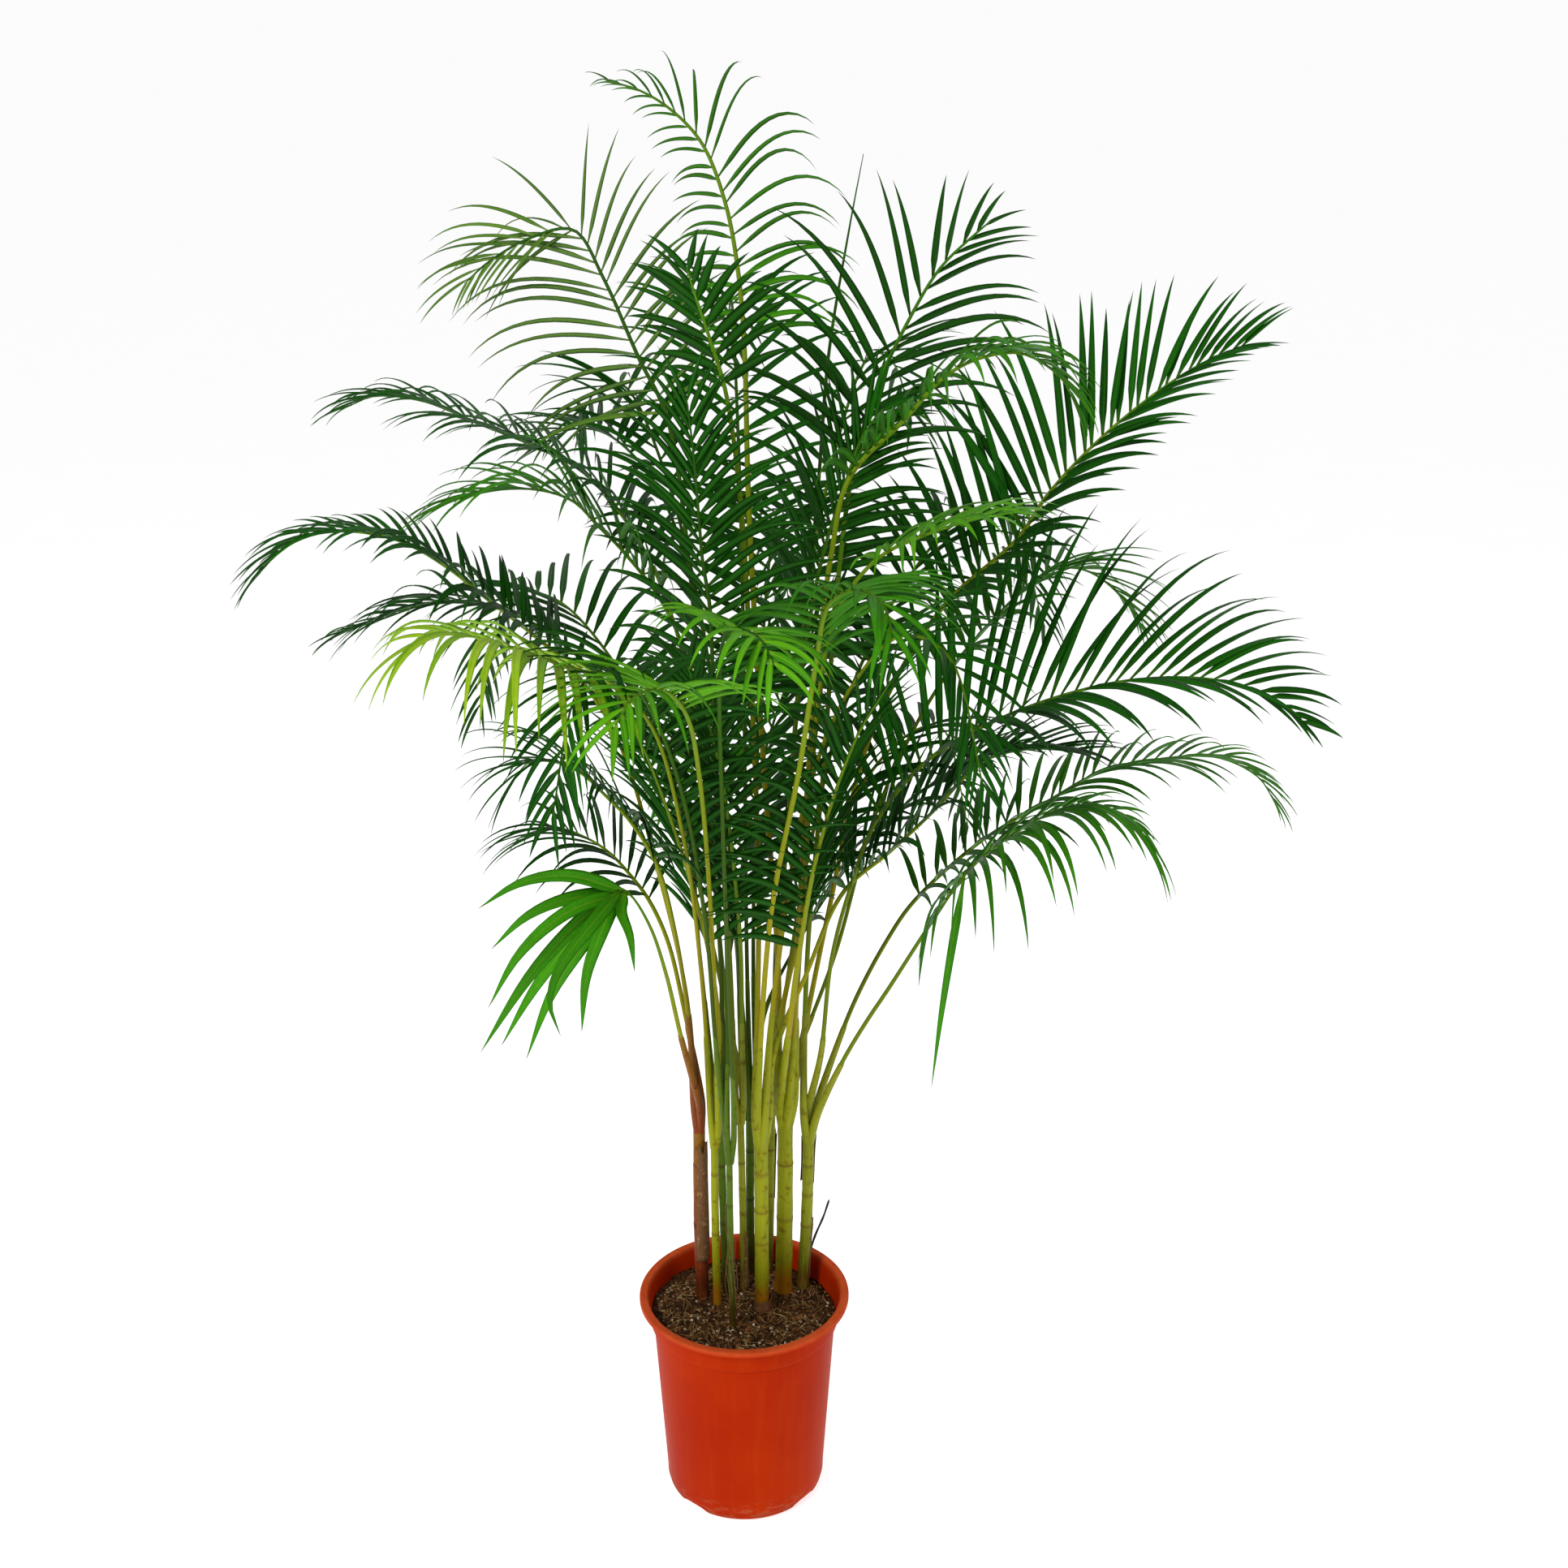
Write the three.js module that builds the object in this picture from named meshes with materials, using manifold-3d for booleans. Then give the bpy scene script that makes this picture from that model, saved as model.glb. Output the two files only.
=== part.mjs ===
// Potted areca palm: a clump of canes with arching feather fronds, in soil, in a round nursery pot.
// Millimetres, +Z up. The origin is on the pot's axis, at the plane that the feet stand on; -Y is the front.
import * as THREE from "three";
import { mergeVertices } from "three/addons/utils/BufferGeometryUtils.js";
import Module from "manifold-3d";

const wasm = await Module();
wasm.setup();

// ---- driving dimensions ----
const GAP = 0.3; // clearance between touching pieces
const POT_HEIGHT = 247.8;
const RIM_RADIUS = 120;
const RIM_INNER_RADIUS = 110.5;
const LIP_HEIGHT = 7;
const COLLAR_RADIUS = 108.5; // band under the lip
const COLLAR_BOTTOM = 214;
const BODY_TOP_RADIUS = 104.2;
const BODY_BASE_RADIUS = 91.6;
const WALL = 2.2;
const FLOOR_UNDERSIDE = 8;
const FLOOR_TOP = 10.6;
const CENTRE_PAD_RADIUS = 38; // flat pad in the middle of the base, level with the feet
const PAD_TOP = 2.6;
const FOOT_RING_INNER = 78;
const FOOT_ARCHES = 4;
const FOOT_ARCH_WIDTH = 40; // across the arch, along the rim of the base
const FOOT_ARCH_HEIGHT = 9;
const FOOT_ARCH_FIRST = -40; // degrees from the front, toward the right
const DRAIN_HOLES = 6;
const DRAIN_RADIUS = 5;
const DRAIN_CIRCLE = 61;
const ROUND = 36; // sides of the pot
const SOIL_LEVEL = 222;
const CANE_DEPTH = 34; // how far each cane goes down into the soil
const CANE_SIDES = 7;
const RACHIS_STEPS = 12;
const RACHIS_TIP_RADIUS = 0.75;
const LEAFLET_KEEL = 2.4; // depth of the leaflet's V below its edges
const LEAFLET_FOOT = 1.1; // half width where a leaflet leaves the stalk
const GRIDS = [0.1, 0.06, 0.15, 0.04, 0.2, 0.08, 0.12, 0.05, 0.17, 0.03, 0.02]; // steps tried in turn by cleaned()
const THIN = 0.006; // least height of a face that cleaned() is content with
const SIMPLIFY = 0.4; // slivers smaller than this are taken out of a joined frond

const CANES = [
  { name: "cane_1", foot: [-49.0, 23.9, 222.0], top: [-50, 24, 448], r0: 8.0, r1: 6.6, rings: 1, tone: "brown" },
  { name: "cane_2", foot: [-31.5, 9.4, 222.0], top: [-32, 3, 439], r0: 4.7, r1: 4.2, rings: 1, tone: "yellow" },
  { name: "cane_3", foot: [-21.8, 30.5, 222.0], top: [-26, 34, 439], r0: 4.6, r1: 4.2, rings: 1, tone: "dark" },
  { name: "cane_4", foot: [-12.3, -37.7, 222.0], top: [-14, -46, 447], r0: 3.6, r1: 3.6, rings: 1, tone: "dark" },
  { name: "cane_5", foot: [-1.1, 40.3, 222.0], top: [-4, 46, 446], r0: 4.2, r1: 4.0, rings: 1, tone: "green" },
  { name: "cane_6", foot: [20.4, -1.8, 222.0], top: [20, -10, 449], r0: 8.2, r1: 8.0, rings: 2, tone: "yellow" },
  { name: "cane_7", foot: [44.7, 37.0, 222.0], top: [47, 37, 448], r0: 10.0, r1: 8.6, rings: 2, tone: "yellow" },
  { name: "cane_8", foot: [67.6, 46.9, 222.0], top: [74, 49, 421], r0: 6.8, r1: 6.6, rings: 2, tone: "green" },
  { name: "cane_9", foot: [26.2, 84.1, 222.0], top: [30, 94, 431], r0: 6.0, r1: 5.6, rings: 1, tone: "green" },
  { name: "cane_10", foot: [5.9, 77.2, 222.0], top: [6, 89, 428], r0: 5.0, r1: 4.8, rings: 1, tone: "dark" },
];

// Each frond: points of its stalk from the cane's top to the tip, the point where the leaflets start,
// leaflet length and pairs, droop, V angle, sideways direction of the blade (or null), roll of the blade,
// leaflet width, leaflet angle to the stalk at the base and at the tip, side length ratios.
const FRONDS = [
  {
    name: "frond_tall_left_arch", leafStart: 6, leaflet: 172, pairs: 7, droop: 1.35, vee: 0, side: [0.75, -0.66, 0], roll: 0,
    width: 9, baseAngle: 82, tipAngle: 34, sides: [0.5, 1.0], tipRatio: 0.22, radius: 3.0, tone: 1,
    points: [[41.9, 40.7, 448.9], [39.6, 39.7, 476.0], [38.8, 20.3, 653.0], [25.0, 30.0, 855.0], [15.0, 40.0, 1028.0], [9.0, 50.0, 1161.0], [6.0, 60.0, 1297.0], [0.0, 70.0, 1371.0], [-12.0, 75.0, 1435.0], [-34.0, 80.0, 1490.0], [-62.0, 78.0, 1520.0], [-92.0, 70.0, 1538.0], [-125.0, 55.0, 1547.0]],
  },
  {
    name: "frond_back_left_arch", leafStart: 5, leaflet: 225, pairs: 7, droop: 0.9, vee: 8, side: [0.9, -0.35, 0], roll: 0,
    width: 8.5, baseAngle: 74, tipAngle: 18, sides: [1.0, 0.62], tipRatio: 0.28, radius: 2.4, tone: 2,
    points: [[-27.8, 37.0, 439.9], [-27.9, 38.7, 466.8], [-23.3, 29.8, 628.8], [-40.0, 60.0, 854.0], [-54.0, 90.0, 1069.0], [-76.0, 110.0, 1224.0], [-105.0, 120.0, 1284.0], [-140.0, 130.0, 1363.0], [-169.0, 140.0, 1409.0], [-214.0, 150.0, 1402.0], [-262.0, 150.0, 1376.0], [-285.0, 145.0, 1356.0]],
  },
  {
    name: "frond_tall_right_dark", leafStart: 5, leaflet: 190, pairs: 6, droop: 0.8, vee: 12, side: [0.92, 0.3, 0], roll: 0,
    width: 10.5, baseAngle: 62, tipAngle: 22, sides: [1, 1], tipRatio: 0.17, radius: 2.6, tone: 3,
    points: [[70.8, 45.8, 421.9], [68.3, 41.2, 448.9], [71.3, 33.2, 650.4], [87.0, 20.0, 867.0], [100.0, 10.0, 1068.0], [115.0, 0.0, 1192.0], [136.0, -5.0, 1265.0], [163.0, -10.0, 1325.0], [193.0, -20.0, 1377.0], [223.0, -30.0, 1407.0], [238.0, -35.0, 1420.0]],
  },
  {
    name: "spear_leaf", leafStart: 6, leaflet: 0, pairs: 0, droop: 1.0, vee: 22, side: null, roll: 0,
    width: 13, baseAngle: 70, tipAngle: 24, sides: [1, 1], tipRatio: 0.4, radius: 2.3, tone: 3,
    points: [[31.5, 89.4, 431.9], [33.3, 86.1, 459.0], [36.8, 71.3, 661.0], [62.0, 70.0, 942.0], [81.0, 70.0, 1158.0], [91.0, 70.0, 1292.0], [110.0, 70.0, 1411.0], [123.0, 70.0, 1481.0]],
  },
  {
    name: "frond_right_arch_bright", leafStart: 5, leaflet: 150, pairs: 7, droop: 1.5, vee: 16, side: null, roll: 0,
    width: 11, baseAngle: 70, tipAngle: 24, sides: [1, 1], tipRatio: 0.3, radius: 3.0, tone: 6,
    points: [[53.3, 37.0, 448.9], [56.5, 31.5, 476.0], [61.0, -9.7, 695.0], [77.0, -40.0, 971.0], [92.0, -60.0, 1114.0], [108.0, -70.0, 1187.0], [158.0, -85.0, 1243.0], [192.0, -100.0, 1283.0], [223.0, -110.0, 1301.0], [261.0, -120.0, 1306.0], [296.0, -125.0, 1285.0], [309.0, -125.0, 1264.0]],
  },
  {
    name: "frond_upper_right", leafStart: 4, leaflet: 225, pairs: 7, droop: 0.5, vee: 32, side: null, roll: 26,
    width: 12.5, baseAngle: 70, tipAngle: 24, sides: [0.62, 1.0], tipRatio: 0.36, radius: 3.0, tone: 5,
    points: [[48.9, 43.0, 448.9], [55.1, 47.2, 476.0], [94.0, 60.0, 685.0], [142.0, 90.0, 891.0], [215.0, 110.0, 1021.0], [295.0, 120.0, 1095.0], [327.0, 130.0, 1141.0], [379.0, 140.0, 1196.0], [438.0, 150.0, 1244.0], [487.0, 155.0, 1275.0], [532.0, 160.0, 1293.0]],
  },
  {
    name: "frond_right_mid_bright", leafStart: 5, leaflet: 140, pairs: 6, droop: 1.2, vee: 18, side: null, roll: 0,
    width: 11.5, baseAngle: 70, tipAngle: 24, sides: [1, 1], tipRatio: 0.32, radius: 3.0, tone: 4,
    points: [[48.9, 31.0, 448.9], [51.4, 22.5, 476.1], [65.0, -27.3, 722.4], [77.0, -80.0, 940.0], [95.0, -110.0, 1062.0], [131.0, -140.0, 1122.0], [170.0, -160.0, 1147.0], [216.0, -175.0, 1165.0], [244.0, -185.0, 1172.0]],
  },
  {
    name: "frond_right_short_arch", leafStart: 4, leaflet: 150, pairs: 7, droop: 0.9, vee: 22, side: null, roll: 0,
    width: 10.5, baseAngle: 70, tipAngle: 24, sides: [1, 1], tipRatio: 0.3, radius: 2.3, tone: 6,
    points: [[34.9, 94.0, 431.9], [44.7, 92.3, 459.0], [102.0, 80.0, 627.0], [149.0, 110.0, 791.0], [220.0, 140.0, 932.0], [308.0, 170.0, 1027.0], [332.0, 180.0, 1044.0], [359.0, 190.0, 1050.0], [390.0, 200.0, 1042.0], [430.0, 210.0, 1009.0], [451.0, 215.0, 979.0]],
  },
  {
    name: "frond_right_long", leafStart: 5, leaflet: 250, pairs: 7, droop: 0.7, vee: 34, side: null, roll: 24,
    width: 12.5, baseAngle: 70, tipAngle: 24, sides: [0.66, 1.0], tipRatio: 0.2, radius: 2.6, tone: 5,
    points: [[70.8, 52.2, 421.9], [72.7, 50.1, 449.0], [86.8, 6.8, 546.6], [96.8, -11.9, 665.6], [115.2, -27.2, 752.8], [140.7, -41.2, 832.1], [193.0, -55.0, 904.0], [265.0, -70.0, 952.0], [341.0, -85.0, 984.0], [397.0, -95.0, 997.0], [463.0, -104.0, 998.0], [511.0, -108.0, 983.0], [549.0, -110.0, 956.0]],
  },
  {
    name: "frond_right_lower", leafStart: 5, leaflet: 150, pairs: 7, droop: 1.0, vee: 20, side: null, roll: 0,
    width: 10.5, baseAngle: 70, tipAngle: 24, sides: [1, 1], tipRatio: 0.3, radius: 2.6, tone: 6,
    points: [[77.2, 52.2, 421.9], [81.2, 53.2, 449.0], [100.0, 50.0, 516.0], [127.0, 60.0, 587.0], [161.0, 70.0, 653.0], [190.0, 75.0, 697.0], [264.0, 85.0, 765.0], [340.0, 95.0, 810.0], [392.0, 100.0, 839.0], [471.0, 105.0, 855.0], [524.0, 105.0, 855.0], [568.0, 100.0, 834.0], [588.0, 95.0, 805.0]],
  },
  {
    name: "frond_right_low_hang", leafStart: 5, leaflet: 205, pairs: 6, droop: 1.45, vee: 6, side: null, roll: 0,
    width: 12.5, baseAngle: 66, tipAngle: 34, sides: [1.0, 0.5], tipRatio: 0.4, radius: 2.6, tone: 6,
    points: [[77.2, 45.8, 421.9], [82.6, 40.3, 449.0], [112.0, 10.0, 536.0], [135.0, 0.0, 585.0], [159.0, -10.0, 631.0], [203.0, -25.0, 716.0], [235.0, -40.0, 775.0], [272.0, -55.0, 817.0], [332.0, -75.0, 859.0], [372.0, -88.0, 860.0], [401.0, -95.0, 840.0]],
    routes: [[[232.6, -39.0, 771.5], [221.7, -54.0, 710.7], [210.9, -63.0, 630.8], [202.0, -66.0, 536.0]]],
  },
  {
    name: "frond_right_inner", leafStart: 4, leaflet: 190, pairs: 7, droop: 0.8, vee: 24, side: null, roll: 0,
    width: 11.5, baseAngle: 70, tipAngle: 24, sides: [1, 1], tipRatio: 0.35, radius: 2.7, tone: 3,
    points: [[25.7, -10.0, 449.9], [28.6, -10.0, 477.0], [33.2, -13.9, 550.6], [69.2, -18.5, 649.6], [108.7, -17.8, 745.2], [156.2, -23.0, 792.1], [200.0, -25.0, 837.0], [242.0, -25.0, 885.0], [263.0, -30.0, 899.0], [297.0, -40.0, 909.0], [335.0, -50.0, 910.0]],
  },
  {
    name: "frond_left_far", leafStart: 5, leaflet: 170, pairs: 7, droop: 1.0, vee: 24, side: null, roll: -6,
    width: 11.5, baseAngle: 70, tipAngle: 24, sides: [0.55, 1.0], tipRatio: 0.26, radius: 2.5, tone: 5,
    points: [[-53.1, 27.1, 448.9], [-55.4, 27.2, 476.0], [-61.2, 19.6, 605.0], [-88.0, 15.0, 750.0], [-127.0, 0.0, 908.0], [-166.0, -10.0, 980.0], [-202.0, -20.0, 1019.0], [-246.0, -30.0, 1059.0], [-287.0, -35.0, 1095.0], [-329.0, -40.0, 1121.0], [-380.0, -45.0, 1132.0], [-418.0, -48.0, 1128.0], [-449.0, -50.0, 1109.0], [-468.0, -50.0, 1090.0]],
  },
  {
    name: "frond_left_bright_droop", leafStart: 5, leaflet: 200, pairs: 7, droop: 1.7, vee: 6, side: null, roll: 0,
    width: 12, baseAngle: 78, tipAngle: 36, sides: [0.8, 1.0], tipRatio: 0.45, radius: 2.4, tone: 7,
    points: [[-33.8, -0.0, 439.9], [-35.1, -4.7, 467.0], [-42.3, -31.1, 655.9], [-56.4, -94.5, 841.8], [-82.0, -150.0, 969.0], [-123.0, -190.0, 1023.0], [-154.0, -210.0, 1039.0], [-185.0, -225.0, 1056.0], [-215.0, -240.0, 1069.0], [-245.0, -250.0, 1079.0], [-269.0, -255.0, 1074.0]],
  },
  {
    name: "frond_left_dark", leafStart: 5, leaflet: 150, pairs: 7, droop: 1.0, vee: 20, side: null, roll: 0,
    width: 10.5, baseAngle: 70, tipAngle: 24, sides: [1, 1], tipRatio: 0.3, radius: 2.4, tone: 3,
    points: [[-27.8, 31.0, 439.9], [-31.7, 31.0, 467.3], [-48.0, 58.4, 637.7], [-65.0, 60.0, 808.0], [-132.0, 60.0, 935.0], [-190.0, 60.0, 997.0], [-238.0, 60.0, 1027.0], [-277.0, 60.0, 1037.0], [-315.0, 60.0, 1040.0], [-381.0, 60.0, 1019.0], [-415.0, 60.0, 1008.0]],
  },
  {
    name: "frond_left_upper", leafStart: 4, leaflet: 175, pairs: 7, droop: 1.1, vee: 18, side: null, roll: 0,
    width: 10, baseAngle: 70, tipAngle: 24, sides: [1, 1], tipRatio: 0.3, radius: 2.2, tone: 5,
    points: [[-6.8, 48.8, 446.9], [-10.4, 49.5, 474.0], [-25.7, 55.2, 665.0], [-47.0, 80.0, 894.0], [-93.0, 100.0, 1067.0], [-161.0, 115.0, 1162.0], [-215.0, 120.0, 1192.0], [-274.0, 125.0, 1215.0], [-332.0, 130.0, 1238.0], [-384.0, 130.0, 1243.0], [-410.0, 130.0, 1233.0]],
  },
  {
    name: "frond_left_mid", leafStart: 4, leaflet: 180, pairs: 7, droop: 1.1, vee: 18, side: null, roll: 0,
    width: 10.5, baseAngle: 70, tipAngle: 24, sides: [1, 1], tipRatio: 0.4, radius: 2.2, tone: 6,
    points: [[-6.8, 43.2, 446.9], [-8.9, 39.4, 474.0], [-16.0, 20.0, 710.0], [-38.0, 10.0, 932.0], [-74.0, 0.0, 1045.0], [-115.0, -10.0, 1106.0], [-138.0, -20.0, 1133.0], [-161.0, -25.0, 1158.0], [-196.0, -30.0, 1170.0], [-243.0, -35.0, 1169.0], [-274.0, -38.0, 1161.0]],
  },
  {
    name: "frond_left_low_a", leafStart: 4, leaflet: 190, pairs: 6, droop: 1.2, vee: 14, side: null, roll: 0,
    width: 9, baseAngle: 70, tipAngle: 24, sides: [1, 1], tipRatio: 0.35, radius: 2.5, tone: 3,
    points: [[-53.1, 20.9, 448.9], [-54.7, 16.6, 476.0], [-57.0, -5.0, 578.0], [-70.0, -20.0, 699.0], [-87.0, -35.0, 783.0], [-113.0, -50.0, 837.0], [-133.0, -58.0, 863.0], [-160.0, -68.0, 894.0], [-185.0, -76.0, 907.0], [-208.0, -84.0, 908.0], [-221.0, -88.0, 893.0]],
  },
  {
    name: "frond_left_low_b", leafStart: 4, leaflet: 180, pairs: 6, droop: 1.2, vee: 14, side: null, roll: 0,
    width: 9, baseAngle: 70, tipAngle: 24, sides: [1, 1], tipRatio: 0.35, radius: 2.5, tone: 3,
    points: [[-46.9, 27.1, 448.9], [-47.7, 30.0, 476.0], [-64.8, 40.4, 576.0], [-83.0, 50.0, 660.0], [-103.0, 60.0, 704.0], [-123.0, 68.0, 730.0], [-147.0, 75.0, 755.0], [-171.0, 82.0, 769.0], [-203.0, 90.0, 778.0], [-235.0, 95.0, 767.0]],
  },
  {
    name: "frond_left_fan", leafStart: 5, leaflet: 0, pairs: 0, droop: 1.7, vee: 0, side: null, roll: 0,
    width: 14.6, baseAngle: 50, tipAngle: 10, sides: [1, 1], tipRatio: 0.4, radius: 2.5, tone: 6,
    points: [[-46.9, 20.9, 448.9], [-47.8, 10.0, 476.0], [-64.0, -60.0, 600.0], [-76.0, -85.0, 681.0], [-90.0, -105.0, 743.0], [-108.0, -120.0, 783.0], [-117.0, -124.0, 789.0]],
    routes: [[[-108.0, -120.0, 783.0], [-164.0, -150.0, 814.0], [-208.0, -175.0, 816.0], [-246.0, -195.0, 797.0]], [[-110.1, -121.1, 785.0], [-165.4, -140.1, 785.7], [-204.7, -155.0, 773.3], [-241.0, -165.0, 742.0]], [[-110.1, -121.1, 785.0], [-162.4, -170.1, 784.7], [-205.7, -205.0, 756.3], [-236.0, -225.0, 707.0]], [[-113.7, -122.6, 787.2], [-147.8, -154.8, 773.8], [-197.9, -189.9, 728.4], [-248.0, -215.0, 655.0]], [[-113.4, -122.5, 787.0], [-155.6, -130.3, 749.7], [-201.8, -140.2, 692.3], [-239.0, -148.0, 629.0]], [[-116.1, -123.6, 788.4], [-147.1, -169.7, 753.3], [-178.0, -199.9, 711.1], [-203.0, -220.0, 650.0]], [[-116.1, -123.6, 788.4], [-138.1, -189.7, 779.3], [-166.0, -234.8, 752.2], [-173.0, -254.9, 728.1], [-161.0, -268.0, 698.0]], [[-117.0, -124.0, 789.0], [-131.0, -164.3, 764.0], [-145.0, -189.7, 728.0], [-150.0, -205.0, 672.0]], [[-111.6, -121.8, 786.1], [-115.7, -149.8, 777.7], [-104.9, -169.9, 758.4], [-99.0, -182.0, 725.0]]],
  },
  {
    name: "frond_front_droop", leafStart: 5, leaflet: 105, pairs: 5, droop: 1.9, vee: 12, side: [0.8, -0.5, 0], roll: 0,
    width: 11.5, baseAngle: 70, tipAngle: 24, sides: [1, 1], tipRatio: 0.5, radius: 2.1, tone: 4,
    points: [[-10.9, -46.0, 447.9], [-8.6, -51.8, 475.0], [-11.6, -91.0, 682.9], [-14.0, -140.0, 876.0], [-13.0, -200.0, 1014.0], [-6.0, -260.0, 1077.0], [9.0, -310.0, 1096.0], [28.0, -350.0, 1095.0], [38.0, -372.0, 1080.0]],
  },
  {
    name: "frond_centre_up", leafStart: 3, leaflet: 150, pairs: 7, droop: 1.0, vee: 22, side: [1, -0.4, 0], roll: 0,
    width: 11, baseAngle: 70, tipAngle: 24, sides: [1, 1], tipRatio: 0.4, radius: 2.1, tone: 5,
    points: [[-15.6, -48.7, 447.9], [-15.8, -51.0, 474.9], [-14.5, -52.3, 710.5], [-24.0, -60.0, 935.0], [-26.0, -80.0, 1064.0], [-32.0, -90.0, 1112.0], [-34.0, -100.0, 1150.0], [-38.0, -110.0, 1215.0], [-43.0, -120.0, 1267.0]],
  },
  {
    name: "frond_front_right", leafStart: 4, leaflet: 130, pairs: 6, droop: 1.5, vee: 16, side: null, roll: 0,
    width: 11.5, baseAngle: 70, tipAngle: 24, sides: [1, 1], tipRatio: 0.4, radius: 2.7, tone: 6,
    points: [[15.4, -13.3, 449.9], [15.7, -22.6, 477.0], [32.0, -80.0, 742.0], [60.0, -150.0, 921.0], [74.0, -220.0, 1042.0], [84.0, -280.0, 1110.0], [105.0, -320.0, 1131.0], [126.0, -350.0, 1126.0], [133.0, -365.0, 1105.0]],
  },
  {
    name: "frond_front_left", leafStart: 4, leaflet: 136, pairs: 6, droop: 1.35, vee: 18, side: null, roll: 0,
    width: 11, baseAngle: 70, tipAngle: 24, sides: [1, 1], tipRatio: 0.4, radius: 2.4, tone: 4,
    points: [[-28.5, 3.0, 439.9], [-27.2, -7.0, 467.0], [-28.9, -79.9, 742.0], [-34.9, -149.9, 913.0], [-43.0, -220.0, 997.0], [-61.0, -275.0, 1034.0], [-82.0, -320.0, 1038.0], [-95.0, -345.0, 1021.0]],
  },
  {
    name: "frond_back_stub_left", leafStart: 5, leaflet: 124, pairs: 5, droop: 0.8, vee: 30, side: null, roll: 0,
    width: 10.5, baseAngle: 70, tipAngle: 24, sides: [1, 1], tipRatio: 0.4, radius: 2.1, tone: 3,
    points: [[1.5, 86.4, 428.9], [-1.9, 88.5, 456.1], [-11.7, 125.6, 686.3], [-42.0, 190.0, 957.0], [-88.0, 240.0, 1114.0], [-126.0, 270.0, 1164.0], [-164.0, 295.0, 1187.0], [-204.0, 315.0, 1186.0], [-233.0, 330.0, 1166.0]],
  },
  {
    name: "frond_upper_centre", leafStart: 5, leaflet: 104, pairs: 5, droop: 0.8, vee: 16, side: [1, -0.5, 0], roll: 0,
    width: 13, baseAngle: 70, tipAngle: 24, sides: [1, 1], tipRatio: 0.4, radius: 2.7, tone: 3,
    points: [[15.4, -6.7, 449.9], [14.1, -7.0, 477.0], [19.0, -20.0, 745.0], [12.0, -40.0, 996.0], [4.0, -60.0, 1162.0], [-9.0, -80.0, 1270.0], [-24.0, -95.0, 1323.0], [-35.0, -110.0, 1359.0], [-41.0, -118.0, 1381.0]],
  },
  {
    name: "frond_centre_right_up", leafStart: 3, leaflet: 165, pairs: 7, droop: 0.8, vee: 24, side: [0.8, -0.6, 0], roll: 0,
    width: 11, baseAngle: 70, tipAngle: 24, sides: [1, 1], tipRatio: 0.4, radius: 2.3, tone: 5,
    points: [[26.1, 91.1, 431.9], [26.2, 83.2, 459.0], [44.2, 38.7, 721.0], [62.0, 40.0, 950.0], [82.0, 20.0, 1083.0], [105.0, -10.0, 1170.0], [121.0, -30.0, 1220.0], [138.0, -42.0, 1248.0]],
  },
  {
    name: "frond_centre_low_left", leafStart: 3, leaflet: 150, pairs: 6, droop: 0.9, vee: 24, side: null, roll: 0,
    width: 11, baseAngle: 58, tipAngle: 22, sides: [1, 1], tipRatio: 0.4, radius: 2.4, tone: 5,
    points: [[-33.8, 6.0, 439.9], [-33.5, 4.1, 467.0], [-24.6, -21.8, 584.9], [-34.1, -39.6, 688.8], [-54.7, -59.0, 789.7], [-74.0, -90.0, 872.0], [-93.0, -115.0, 938.0], [-113.0, -140.0, 984.0]],
  },
  {
    name: "frond_centre_low_mid", leafStart: 3, leaflet: 150, pairs: 6, droop: 0.8, vee: 26, side: [0.9, -0.4, 0], roll: 0,
    width: 11, baseAngle: 56, tipAngle: 22, sides: [1, 1], tipRatio: 0.4, radius: 2.2, tone: 3,
    points: [[-1.2, 43.2, 446.9], [-0.1, 35.8, 474.0], [0.0, -10.0, 580.0], [0.0, -40.0, 689.0], [-5.0, -75.0, 793.0], [-13.0, -110.0, 887.0], [-26.0, -150.0, 969.0], [-43.0, -185.0, 1033.0]],
  },
  {
    name: "frond_centre_low_right", leafStart: 3, leaflet: 155, pairs: 6, droop: 0.8, vee: 26, side: null, roll: 0,
    width: 11, baseAngle: 56, tipAngle: 22, sides: [1, 1], tipRatio: 0.4, radius: 3.0, tone: 3,
    points: [[41.9, 33.3, 448.9], [41.1, 24.4, 476.0], [51.0, -30.0, 590.0], [62.0, -55.0, 695.0], [76.0, -80.0, 795.0], [95.0, -105.0, 881.0], [119.0, -125.0, 954.0], [147.0, -140.0, 1007.0]],
  },
  {
    name: "frond_centre_back_low", leafStart: 3, leaflet: 165, pairs: 5, droop: 0.8, vee: 24, side: null, roll: 0,
    width: 11, baseAngle: 60, tipAngle: 24, sides: [1, 1], tipRatio: 0.4, radius: 2.4, tone: 3,
    points: [[-22.5, 34.0, 439.9], [-20.0, 37.3, 467.0], [-23.3, 65.5, 565.6], [-9.4, 94.7, 671.6], [8.3, 119.0, 778.0], [31.0, 150.0, 873.0], [63.0, 175.0, 951.0], [104.0, 195.0, 1007.0]],
  },
  {
    name: "frond_right_low_inner", leafStart: 3, leaflet: 165, pairs: 6, droop: 0.9, vee: 24, side: null, roll: 0,
    width: 11, baseAngle: 60, tipAngle: 24, sides: [1, 1], tipRatio: 0.4, radius: 2.1, tone: 5,
    points: [[10.5, 86.4, 428.9], [14.0, 87.1, 456.1], [22.6, 107.8, 543.2], [62.8, 125.9, 627.9], [110.0, 140.0, 702.0], [165.0, 150.0, 767.0], [229.0, 155.0, 819.0], [296.0, 155.0, 853.0]],
  },
  {
    name: "frond_back_high", leafStart: 4, leaflet: 170, pairs: 5, droop: 0.8, vee: 22, side: null, roll: 0,
    width: 10.5, baseAngle: 68, tipAngle: 24, sides: [1, 1], tipRatio: 0.4, radius: 2.1, tone: 5,
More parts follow.
